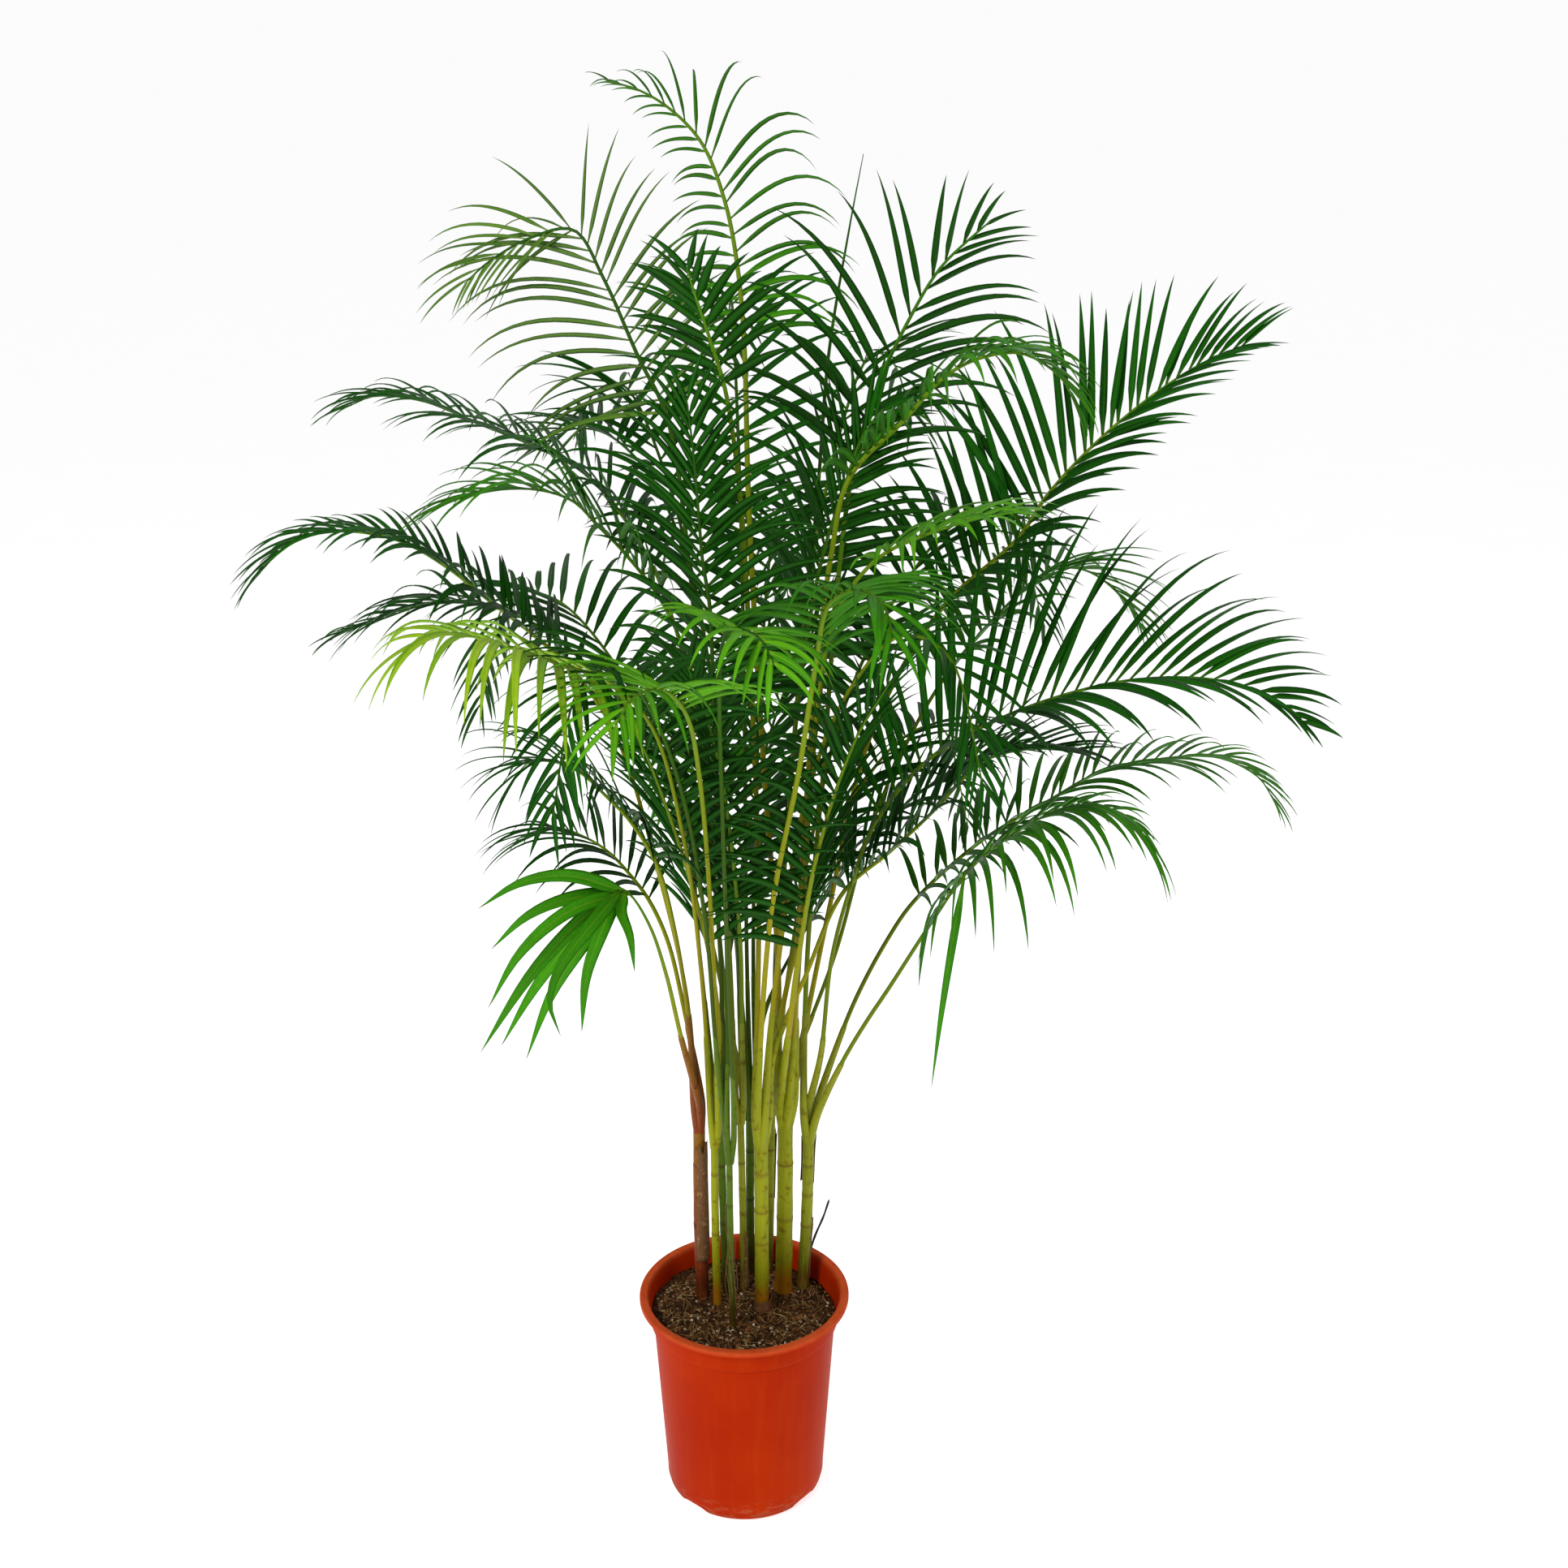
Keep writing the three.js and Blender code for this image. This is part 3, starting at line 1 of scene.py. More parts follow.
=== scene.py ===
import math
import bpy
import bmesh
import numpy as np
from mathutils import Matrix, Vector


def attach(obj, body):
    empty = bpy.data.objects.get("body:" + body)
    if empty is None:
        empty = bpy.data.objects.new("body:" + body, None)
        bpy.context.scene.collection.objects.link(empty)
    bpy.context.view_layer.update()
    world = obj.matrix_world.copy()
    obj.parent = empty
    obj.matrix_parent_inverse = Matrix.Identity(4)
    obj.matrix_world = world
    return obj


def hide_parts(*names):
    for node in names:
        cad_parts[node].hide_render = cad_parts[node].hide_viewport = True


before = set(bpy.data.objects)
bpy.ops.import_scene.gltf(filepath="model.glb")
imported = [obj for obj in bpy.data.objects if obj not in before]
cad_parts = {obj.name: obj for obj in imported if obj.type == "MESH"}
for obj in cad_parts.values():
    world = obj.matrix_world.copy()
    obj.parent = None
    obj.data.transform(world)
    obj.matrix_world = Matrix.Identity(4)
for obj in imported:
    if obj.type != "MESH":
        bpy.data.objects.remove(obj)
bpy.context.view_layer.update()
MM = 0.001

# ---------------------------------------------------------------- tables (millimetres, the frame of the CAD)
CANES = [
    {"name": "cane_1", "foot": [-49.0, 23.9, 222.0], "top": [-50, 24, 448], "r0": 8.0, "r1": 6.6, "rings": 2, "tone": "brown", "wrap": [[0.3, 0.93, 1.2, 4.4, 1.0]]},
    {"name": "cane_2", "foot": [-31.5, 9.4, 222.0], "top": [-32, 3, 439], "r0": 4.7, "r1": 4.2, "rings": 2, "tone": "yellow"},
    {"name": "cane_3", "foot": [-21.8, 30.5, 222.0], "top": [-26, 34, 439], "r0": 4.6, "r1": 4.2, "rings": 2, "tone": "dark"},
    {"name": "cane_4", "foot": [-12.3, -37.7, 222.0], "top": [-14, -46, 447], "r0": 3.6, "r1": 3.6, "rings": 2, "tone": "dark"},
    {"name": "cane_5", "foot": [-1.1, 40.3, 222.0], "top": [-4, 46, 446], "r0": 4.2, "r1": 4.0, "rings": 2, "tone": "green", "wrap": [[0.1, 0.42, 2.0, 4.6, 0.8]]},
    {"name": "cane_6", "foot": [20.4, -1.8, 222.0], "top": [20, -10, 449], "r0": 8.2, "r1": 8.0, "rings": 3, "tone": "yellow", "wrap": [[0.05, 0.17, 0.2, 6.0, 1.6]]},
    {"name": "cane_7", "foot": [44.7, 37.0, 222.0], "top": [47, 37, 448], "r0": 10.0, "r1": 8.6, "rings": 2, "tone": "yellow"},
    {"name": "cane_8", "foot": [67.6, 46.9, 222.0], "top": [74, 49, 421], "r0": 6.8, "r1": 6.6, "rings": 3, "tone": "green", "wrap": [[0.72, 1.02, 3.2, 6.3, 1.6], [0.16, 0.52, 2.8, 5.6, 0.9]]},
    {"name": "cane_9", "foot": [26.2, 84.1, 222.0], "top": [30, 94, 431], "r0": 6.0, "r1": 5.6, "rings": 2, "tone": "green", "wrap": [[0.5, 0.9, 3.0, 6.0, 1.2]]},
    {"name": "cane_10", "foot": [5.9, 77.2, 222.0], "top": [6, 89, 428], "r0": 5.0, "r1": 4.8, "rings": 2, "tone": "dark"},
]
FRONDS = [
    {"name": "frond_tall_left_arch", "stalk_of": "cane_7", "leaf": "green", "stalk": "yellow", "shade": 0.45, "leafStart": 6, "leaflet": 172, "spacing": 14.0, "droop": 1.35, "vee": 0, "side": [0.75, -0.66, 0], "roll": 0,
     "width": 5.6, "baseAngle": 82, "tipAngle": 34, "sides": [0.5, 1.0], "tipRatio": 0.22, "radius": 3.0,
     "points": [[41.9, 40.7, 448.9], [39.6, 39.7, 476.0], [38.8, 20.3, 653.0], [25.0, 30.0, 855.0], [15.0, 40.0, 1028.0], [9.0, 50.0, 1161.0], [6.0, 60.0, 1297.0], [0.0, 70.0, 1371.0], [-12.0, 75.0, 1435.0], [-34.0, 80.0, 1490.0], [-62.0, 78.0, 1520.0], [-92.0, 70.0, 1538.0], [-125.0, 55.0, 1547.0]]},
    {"name": "frond_back_left_arch", "stalk_of": "cane_3", "leaf": "pale", "stalk": "dark", "shade": 0.5, "leafStart": 5, "leaflet": 225, "spacing": 14.0, "droop": 0.9, "vee": 8, "side": [0.9, -0.35, 0], "roll": 0,
     "width": 5.6, "baseAngle": 74, "tipAngle": 18, "sides": [1.0, 0.62], "tipRatio": 0.28, "radius": 2.4,
     "points": [[-27.8, 37.0, 439.9], [-27.9, 38.7, 466.8], [-23.3, 29.8, 628.8], [-40.0, 60.0, 854.0], [-54.0, 90.0, 1069.0], [-76.0, 110.0, 1224.0], [-105.0, 120.0, 1284.0], [-140.0, 130.0, 1363.0], [-169.0, 140.0, 1409.0], [-214.0, 150.0, 1402.0], [-262.0, 150.0, 1376.0], [-285.0, 145.0, 1356.0]]},
    {"name": "frond_tall_right_dark", "stalk_of": "cane_8", "leaf": "deep", "stalk": "green", "shade": 0.35, "leafStart": 5, "leaflet": 190, "spacing": 21.0, "droop": 0.8, "vee": 12, "side": [0.92, 0.3, 0], "roll": 0,
     "width": 8.5, "baseAngle": 62, "tipAngle": 22, "sides": [1, 1], "tipRatio": 0.17, "radius": 2.6,
     "points": [[70.8, 45.8, 421.9], [68.3, 41.2, 448.9], [71.3, 33.2, 650.4], [87.0, 20.0, 867.0], [100.0, 10.0, 1068.0], [115.0, 0.0, 1192.0], [136.0, -5.0, 1265.0], [163.0, -10.0, 1325.0], [193.0, -20.0, 1377.0], [223.0, -30.0, 1407.0], [238.0, -35.0, 1420.0]]},
    {"name": "spear_leaf", "stalk_of": "cane_9", "leaf": "deep", "stalk": "green", "shade": 0.35, "leafStart": 6, "leaflet": 0, "spacing": 0.0, "droop": 1.0, "vee": 22, "side": None, "roll": 0,
     "width": 11, "baseAngle": 70, "tipAngle": 24, "sides": [1, 1], "tipRatio": 0.4, "radius": 2.3,
     "points": [[31.5, 89.4, 431.9], [33.3, 86.1, 459.0], [36.8, 71.3, 661.0], [62.0, 70.0, 942.0], [81.0, 70.0, 1158.0], [91.0, 70.0, 1292.0], [110.0, 70.0, 1411.0], [123.0, 70.0, 1481.0]]},
    {"name": "frond_right_arch_bright", "stalk_of": "cane_7", "leaf": "green", "stalk": "yellow", "shade": 0.6, "leafStart": 5, "leaflet": 150, "spacing": 12.0, "droop": 1.5, "vee": 16, "side": None, "roll": 0,
     "width": 9, "baseAngle": 70, "tipAngle": 24, "sides": [1, 1], "tipRatio": 0.3, "radius": 3.0,
     "points": [[53.3, 37.0, 448.9], [56.5, 31.5, 476.0], [61.0, -9.7, 695.0], [77.0, -40.0, 971.0], [92.0, -60.0, 1114.0], [108.0, -70.0, 1187.0], [158.0, -85.0, 1243.0], [192.0, -100.0, 1283.0], [223.0, -110.0, 1301.0], [261.0, -120.0, 1306.0], [296.0, -125.0, 1285.0], [309.0, -125.0, 1264.0]]},
    {"name": "frond_upper_right", "stalk_of": "cane_7", "leaf": "deep", "stalk": "yellow", "shade": 0.6, "leafStart": 4, "leaflet": 225, "spacing": 12.5, "droop": 0.5, "vee": 32, "side": None, "roll": 26,
     "width": 10.5, "baseAngle": 70, "tipAngle": 24, "sides": [0.62, 1.0], "tipRatio": 0.36, "radius": 3.0,
     "points": [[48.9, 43.0, 448.9], [55.1, 47.2, 476.0], [94.0, 60.0, 685.0], [142.0, 90.0, 891.0], [215.0, 110.0, 1021.0], [295.0, 120.0, 1095.0], [327.0, 130.0, 1141.0], [379.0, 140.0, 1196.0], [438.0, 150.0, 1244.0], [487.0, 155.0, 1275.0], [532.0, 160.0, 1293.0]]},
    {"name": "frond_right_mid_bright", "stalk_of": "cane_7", "leaf": "fresh", "stalk": "yellow", "shade": 0.5, "leafStart": 5, "leaflet": 140, "spacing": 12.0, "droop": 1.2, "vee": 18, "side": None, "roll": 0,
     "width": 9.5, "baseAngle": 70, "tipAngle": 24, "sides": [1, 1], "tipRatio": 0.32, "radius": 3.0,
     "points": [[48.9, 31.0, 448.9], [51.4, 22.5, 476.1], [65.0, -27.3, 722.4], [77.0, -80.0, 940.0], [95.0, -110.0, 1062.0], [131.0, -140.0, 1122.0], [170.0, -160.0, 1147.0], [216.0, -175.0, 1165.0], [244.0, -185.0, 1172.0]]},
    {"name": "frond_right_short_arch", "stalk_of": "cane_9", "leaf": "green", "stalk": "green", "shade": 0.6, "leafStart": 4, "leaflet": 150, "spacing": 12.0, "droop": 0.9, "vee": 22, "side": None, "roll": 0,
     "width": 8.5, "baseAngle": 70, "tipAngle": 24, "sides": [1, 1], "tipRatio": 0.3, "radius": 2.3,
     "points": [[34.9, 94.0, 431.9], [44.7, 92.3, 459.0], [102.0, 80.0, 627.0], [149.0, 110.0, 791.0], [220.0, 140.0, 932.0], [308.0, 170.0, 1027.0], [332.0, 180.0, 1044.0], [359.0, 190.0, 1050.0], [390.0, 200.0, 1042.0], [430.0, 210.0, 1009.0], [451.0, 215.0, 979.0]]},
    {"name": "frond_right_long", "stalk_of": "cane_8", "leaf": "deep", "stalk": "green", "shade": 0.6, "leafStart": 5, "leaflet": 250, "spacing": 13.5, "droop": 0.7, "vee": 34, "side": None, "roll": 24,
     "width": 10.5, "baseAngle": 70, "tipAngle": 24, "sides": [0.66, 1.0], "tipRatio": 0.2, "radius": 2.6,
     "points": [[70.8, 52.2, 421.9], [72.7, 50.1, 449.0], [86.8, 6.8, 546.6], [96.8, -11.9, 665.6], [115.2, -27.2, 752.8], [140.7, -41.2, 832.1], [193.0, -55.0, 904.0], [265.0, -70.0, 952.0], [341.0, -85.0, 984.0], [397.0, -95.0, 997.0], [463.0, -104.0, 998.0], [511.0, -108.0, 983.0], [549.0, -110.0, 956.0]]},
    {"name": "frond_right_lower", "stalk_of": "cane_8", "leaf": "green", "stalk": "green", "shade": 0.6, "leafStart": 5, "leaflet": 150, "spacing": 13.7, "droop": 1.0, "vee": 20, "side": None, "roll": 0,
     "width": 8.5, "baseAngle": 70, "tipAngle": 24, "sides": [1, 1], "tipRatio": 0.3, "radius": 2.6,
     "points": [[77.2, 52.2, 421.9], [81.2, 53.2, 449.0], [100.0, 50.0, 516.0], [127.0, 60.0, 587.0], [161.0, 70.0, 653.0], [190.0, 75.0, 697.0], [264.0, 85.0, 765.0], [340.0, 95.0, 810.0], [392.0, 100.0, 839.0], [471.0, 105.0, 855.0], [524.0, 105.0, 855.0], [568.0, 100.0, 834.0], [588.0, 95.0, 805.0]]},
    {"name": "frond_right_low_hang", "stalk_of": "cane_8", "leaf": "green", "stalk": "green", "shade": 0.6, "leafStart": 5, "leaflet": 205, "spacing": 12.0, "droop": 1.45, "vee": 6, "side": None, "roll": 0,
     "width": 10.5, "baseAngle": 66, "tipAngle": 34, "sides": [1.0, 0.5], "tipRatio": 0.4, "radius": 2.6,
     "points": [[77.2, 45.8, 421.9], [82.6, 40.3, 449.0], [112.0, 10.0, 536.0], [135.0, 0.0, 585.0], [159.0, -10.0, 631.0], [203.0, -25.0, 716.0], [235.0, -40.0, 775.0], [272.0, -55.0, 817.0], [332.0, -75.0, 859.0], [372.0, -88.0, 860.0], [401.0, -95.0, 840.0]],
     "routes": [[[232.6, -39.0, 771.5], [221.7, -54.0, 710.7], [210.9, -63.0, 630.8], [202.0, -66.0, 536.0]]]},
    {"name": "frond_right_inner", "stalk_of": "cane_6", "leaf": "deep", "stalk": "yellow", "shade": 0.35, "leafStart": 4, "leaflet": 190, "spacing": 12.0, "droop": 0.8, "vee": 24, "side": None, "roll": 0,
     "width": 9.5, "baseAngle": 70, "tipAngle": 24, "sides": [1, 1], "tipRatio": 0.35, "radius": 2.7,
     "points": [[25.7, -10.0, 449.9], [28.6, -10.0, 477.0], [33.2, -13.9, 550.6], [69.2, -18.5, 649.6], [108.7, -17.8, 745.2], [156.2, -23.0, 792.1], [200.0, -25.0, 837.0], [242.0, -25.0, 885.0], [263.0, -30.0, 899.0], [297.0, -40.0, 909.0], [335.0, -50.0, 910.0]]},
    {"name": "frond_left_far", "stalk_of": "cane_1", "leaf": "deep", "stalk": "yellow", "shade": 0.6, "leafStart": 5, "leaflet": 170, "spacing": 12.0, "droop": 1.0, "vee": 24, "side": None, "roll": -6,
     "width": 9.5, "baseAngle": 70, "tipAngle": 24, "sides": [0.55, 1.0], "tipRatio": 0.26, "radius": 2.5,
     "points": [[-53.1, 27.1, 448.9], [-55.4, 27.2, 476.0], [-61.2, 19.6, 605.0], [-88.0, 15.0, 750.0], [-127.0, 0.0, 908.0], [-166.0, -10.0, 980.0], [-202.0, -20.0, 1019.0], [-246.0, -30.0, 1059.0], [-287.0, -35.0, 1095.0], [-329.0, -40.0, 1121.0], [-380.0, -45.0, 1132.0], [-418.0, -48.0, 1128.0], [-449.0, -50.0, 1109.0], [-468.0, -50.0, 1090.0]]},
    {"name": "frond_left_bright_droop", "stalk_of": "cane_2", "leaf": "lime", "stalk": "yellow", "shade": 0.5, "leafStart": 5, "leaflet": 200, "spacing": 12.0, "droop": 1.7, "vee": 6, "side": None, "roll": 0,
     "width": 10, "baseAngle": 78, "tipAngle": 36, "sides": [0.8, 1.0], "tipRatio": 0.45, "radius": 2.4,
     "points": [[-33.8, -0.0, 439.9], [-35.1, -4.7, 467.0], [-42.3, -31.1, 655.9], [-56.4, -94.5, 841.8], [-82.0, -150.0, 969.0], [-123.0, -190.0, 1023.0], [-154.0, -210.0, 1039.0], [-185.0, -225.0, 1056.0], [-215.0, -240.0, 1069.0], [-245.0, -250.0, 1079.0], [-269.0, -255.0, 1074.0]]},
    {"name": "frond_left_dark", "stalk_of": "cane_3", "leaf": "deep", "stalk": "dark", "shade": 0.35, "leafStart": 5, "leaflet": 150, "spacing": 12.0, "droop": 1.0, "vee": 20, "side": None, "roll": 0,
     "width": 8.5, "baseAngle": 70, "tipAngle": 24, "sides": [1, 1], "tipRatio": 0.3, "radius": 2.4,
     "points": [[-27.8, 31.0, 439.9], [-31.7, 31.0, 467.3], [-48.0, 58.4, 637.7], [-65.0, 60.0, 808.0], [-132.0, 60.0, 935.0], [-190.0, 60.0, 997.0], [-238.0, 60.0, 1027.0], [-277.0, 60.0, 1037.0], [-315.0, 60.0, 1040.0], [-381.0, 60.0, 1019.0], [-415.0, 60.0, 1008.0]]},
    {"name": "frond_left_upper", "stalk_of": "cane_5", "leaf": "deep", "stalk": "green", "shade": 0.6, "leafStart": 4, "leaflet": 175, "spacing": 12.0, "droop": 1.1, "vee": 18, "side": None, "roll": 0,
     "width": 8, "baseAngle": 70, "tipAngle": 24, "sides": [1, 1], "tipRatio": 0.3, "radius": 2.2,
     "points": [[-6.8, 48.8, 446.9], [-10.4, 49.5, 474.0], [-25.7, 55.2, 665.0], [-47.0, 80.0, 894.0], [-93.0, 100.0, 1067.0], [-161.0, 115.0, 1162.0], [-215.0, 120.0, 1192.0], [-274.0, 125.0, 1215.0], [-332.0, 130.0, 1238.0], [-384.0, 130.0, 1243.0], [-410.0, 130.0, 1233.0]]},
    {"name": "frond_left_mid", "stalk_of": "cane_5", "leaf": "green", "stalk": "green", "shade": 0.6, "leafStart": 4, "leaflet": 180, "spacing": 12.0, "droop": 1.1, "vee": 18, "side": None, "roll": 0,
     "width": 8.5, "baseAngle": 70, "tipAngle": 24, "sides": [1, 1], "tipRatio": 0.4, "radius": 2.2,
     "points": [[-6.8, 43.2, 446.9], [-8.9, 39.4, 474.0], [-16.0, 20.0, 710.0], [-38.0, 10.0, 932.0], [-74.0, 0.0, 1045.0], [-115.0, -10.0, 1106.0], [-138.0, -20.0, 1133.0], [-161.0, -25.0, 1158.0], [-196.0, -30.0, 1170.0], [-243.0, -35.0, 1169.0], [-274.0, -38.0, 1161.0]]},
    {"name": "frond_left_low_a", "stalk_of": "cane_1", "leaf": "deep", "stalk": "yellow", "shade": 0.35, "leafStart": 4, "leaflet": 190, "spacing": 12.0, "droop": 1.2, "vee": 14, "side": None, "roll": 0,
     "width": 7, "baseAngle": 70, "tipAngle": 24, "sides": [1, 1], "tipRatio": 0.35, "radius": 2.5,
     "points": [[-53.1, 20.9, 448.9], [-54.7, 16.6, 476.0], [-57.0, -5.0, 578.0], [-70.0, -20.0, 699.0], [-87.0, -35.0, 783.0], [-113.0, -50.0, 837.0], [-133.0, -58.0, 863.0], [-160.0, -68.0, 894.0], [-185.0, -76.0, 907.0], [-208.0, -84.0, 908.0], [-221.0, -88.0, 893.0]]},
    {"name": "frond_left_low_b", "stalk_of": "cane_1", "leaf": "deep", "stalk": "yellow", "shade": 0.35, "leafStart": 4, "leaflet": 180, "spacing": 12.0, "droop": 1.2, "vee": 14, "side": None, "roll": 0,
     "width": 7, "baseAngle": 70, "tipAngle": 24, "sides": [1, 1], "tipRatio": 0.35, "radius": 2.5,
     "points": [[-46.9, 27.1, 448.9], [-47.7, 30.0, 476.0], [-64.8, 40.4, 576.0], [-83.0, 50.0, 660.0], [-103.0, 60.0, 704.0], [-123.0, 68.0, 730.0], [-147.0, 75.0, 755.0], [-171.0, 82.0, 769.0], [-203.0, 90.0, 778.0], [-235.0, 95.0, 767.0]]},
    {"name": "frond_left_fan", "stalk_of": "cane_1", "leaf": "green", "stalk": "yellow", "shade": 0.6, "leafStart": 5, "leaflet": 0.5, "spacing": 0.0, "droop": 1.7, "vee": 0, "side": None, "roll": 0,
     "width": 12.6, "baseAngle": 50, "tipAngle": 10, "sides": [1, 1], "tipRatio": 0.4, "radius": 2.5,
     "points": [[-46.9, 20.9, 448.9], [-47.8, 10.0, 476.0], [-64.0, -60.0, 600.0], [-76.0, -85.0, 681.0], [-90.0, -105.0, 743.0], [-108.0, -120.0, 783.0], [-117.0, -124.0, 789.0]],
     "routes": [[[-108.0, -120.0, 783.0], [-164.0, -150.0, 814.0], [-208.0, -175.0, 816.0], [-246.0, -195.0, 797.0]], [[-110.1, -121.1, 785.0], [-165.4, -140.1, 785.7], [-204.7, -155.0, 773.3], [-241.0, -165.0, 742.0]], [[-110.1, -121.1, 785.0], [-162.4, -170.1, 784.7], [-205.7, -205.0, 756.3], [-236.0, -225.0, 707.0]], [[-113.7, -122.6, 787.2], [-147.8, -154.8, 773.8], [-197.9, -189.9, 728.4], [-248.0, -215.0, 655.0]], [[-113.4, -122.5, 787.0], [-155.6, -130.3, 749.7], [-201.8, -140.2, 692.3], [-239.0, -148.0, 629.0]], [[-116.1, -123.6, 788.4], [-147.1, -169.7, 753.3], [-178.0, -199.9, 711.1], [-203.0, -220.0, 650.0]], [[-116.1, -123.6, 788.4], [-138.1, -189.7, 779.3], [-166.0, -234.8, 752.2], [-173.0, -254.9, 728.1], [-161.0, -268.0, 698.0]], [[-117.0, -124.0, 789.0], [-131.0, -164.3, 764.0], [-145.0, -189.7, 728.0], [-150.0, -205.0, 672.0]], [[-111.6, -121.8, 786.1], [-115.7, -149.8, 777.7], [-104.9, -169.9, 758.4], [-99.0, -182.0, 725.0]]]},
    {"name": "frond_front_droop", "stalk_of": "cane_4", "leaf": "fresh", "stalk": "dark", "shade": 0.5, "leafStart": 5, "leaflet": 105, "spacing": 12.0, "droop": 1.9, "vee": 12, "side": [0.8, -0.5, 0], "roll": 0,
     "width": 9.5, "baseAngle": 70, "tipAngle": 24, "sides": [1, 1], "tipRatio": 0.5, "radius": 2.1,
     "points": [[-10.9, -46.0, 447.9], [-8.6, -51.8, 475.0], [-11.6, -91.0, 682.9], [-14.0, -140.0, 876.0], [-13.0, -200.0, 1014.0], [-6.0, -260.0, 1077.0], [9.0, -310.0, 1096.0], [28.0, -350.0, 1095.0], [38.0, -372.0, 1080.0]]},
    {"name": "frond_centre_up", "stalk_of": "cane_4", "leaf": "deep", "stalk": "dark", "shade": 0.6, "leafStart": 3, "leaflet": 150, "spacing": 12.0, "droop": 1.0, "vee": 22, "side": [1, -0.4, 0], "roll": 0,
     "width": 9, "baseAngle": 70, "tipAngle": 24, "sides": [1, 1], "tipRatio": 0.4, "radius": 2.1,
     "points": [[-15.6, -48.7, 447.9], [-15.8, -51.0, 474.9], [-14.5, -52.3, 710.5], [-24.0, -60.0, 935.0], [-26.0, -80.0, 1064.0], [-32.0, -90.0, 1112.0], [-34.0, -100.0, 1150.0], [-38.0, -110.0, 1215.0], [-43.0, -120.0, 1267.0]]},
    {"name": "frond_front_right", "stalk_of": "cane_6", "leaf": "green", "stalk": "yellow", "shade": 0.6, "leafStart": 4, "leaflet": 130, "spacing": 12.0, "droop": 1.5, "vee": 16, "side": None, "roll": 0,
     "width": 9.5, "baseAngle": 70, "tipAngle": 24, "sides": [1, 1], "tipRatio": 0.4, "radius": 2.7,
     "points": [[15.4, -13.3, 449.9], [15.7, -22.6, 477.0], [32.0, -80.0, 742.0], [60.0, -150.0, 921.0], [74.0, -220.0, 1042.0], [84.0, -280.0, 1110.0], [105.0, -320.0, 1131.0], [126.0, -350.0, 1126.0], [133.0, -365.0, 1105.0]]},
    {"name": "frond_front_left", "stalk_of": "cane_2", "leaf": "fresh", "stalk": "yellow", "shade": 0.5, "leafStart": 4, "leaflet": 136, "spacing": 12.0, "droop": 1.35, "vee": 18, "side": None, "roll": 0,
     "width": 9, "baseAngle": 70, "tipAngle": 24, "sides": [1, 1], "tipRatio": 0.4, "radius": 2.4,
     "points": [[-28.5, 3.0, 439.9], [-27.2, -7.0, 467.0], [-28.9, -79.9, 742.0], [-34.9, -149.9, 913.0], [-43.0, -220.0, 997.0], [-61.0, -275.0, 1034.0], [-82.0, -320.0, 1038.0], [-95.0, -345.0, 1021.0]]},
    {"name": "frond_back_stub_left", "stalk_of": "cane_10", "leaf": "deep", "stalk": "dark", "shade": 0.35, "leafStart": 5, "leaflet": 124, "spacing": 12.0, "droop": 0.8, "vee": 30, "side": None, "roll": 0,
     "width": 8.5, "baseAngle": 70, "tipAngle": 24, "sides": [1, 1], "tipRatio": 0.4, "radius": 2.1,
     "points": [[1.5, 86.4, 428.9], [-1.9, 88.5, 456.1], [-11.7, 125.6, 686.3], [-42.0, 190.0, 957.0], [-88.0, 240.0, 1114.0], [-126.0, 270.0, 1164.0], [-164.0, 295.0, 1187.0], [-204.0, 315.0, 1186.0], [-233.0, 330.0, 1166.0]]},
    {"name": "frond_upper_centre", "stalk_of": "cane_6", "leaf": "deep", "stalk": "yellow", "shade": 0.35, "leafStart": 5, "leaflet": 104, "spacing": 34.0, "droop": 0.8, "vee": 16, "side": [1, -0.5, 0], "roll": 0,
     "width": 11, "baseAngle": 70, "tipAngle": 24, "sides": [1, 1], "tipRatio": 0.4, "radius": 2.7,
     "points": [[15.4, -6.7, 449.9], [14.1, -7.0, 477.0], [19.0, -20.0, 745.0], [12.0, -40.0, 996.0], [4.0, -60.0, 1162.0], [-9.0, -80.0, 1270.0], [-24.0, -95.0, 1323.0], [-35.0, -110.0, 1359.0], [-41.0, -118.0, 1381.0]]},
    {"name": "frond_centre_right_up", "stalk_of": "cane_9", "leaf": "deep", "stalk": "green", "shade": 0.6, "leafStart": 3, "leaflet": 165, "spacing": 12.0, "droop": 0.8, "vee": 24, "side": [0.8, -0.6, 0], "roll": 0,
     "width": 9, "baseAngle": 70, "tipAngle": 24, "sides": [1, 1], "tipRatio": 0.4, "radius": 2.3,
     "points": [[26.1, 91.1, 431.9], [26.2, 83.2, 459.0], [44.2, 38.7, 721.0], [62.0, 40.0, 950.0], [82.0, 20.0, 1083.0], [105.0, -10.0, 1170.0], [121.0, -30.0, 1220.0], [138.0, -42.0, 1248.0]]},
    {"name": "frond_centre_low_left", "stalk_of": "cane_2", "leaf": "deep", "stalk": "yellow", "shade": 0.6, "leafStart": 3, "leaflet": 150, "spacing": 13.6, "droop": 0.9, "vee": 24, "side": None, "roll": 0,
     "width": 9, "baseAngle": 58, "tipAngle": 22, "sides": [1, 1], "tipRatio": 0.4, "radius": 2.4,
     "points": [[-33.8, 6.0, 439.9], [-33.5, 4.1, 467.0], [-24.6, -21.8, 584.9], [-34.1, -39.6, 688.8], [-54.7, -59.0, 789.7], [-74.0, -90.0, 872.0], [-93.0, -115.0, 938.0], [-113.0, -140.0, 984.0]]},
    {"name": "frond_centre_low_mid", "stalk_of": "cane_5", "leaf": "deep", "stalk": "green", "shade": 0.35, "leafStart": 3, "leaflet": 150, "spacing": 14.8, "droop": 0.8, "vee": 26, "side": [0.9, -0.4, 0], "roll": 0,
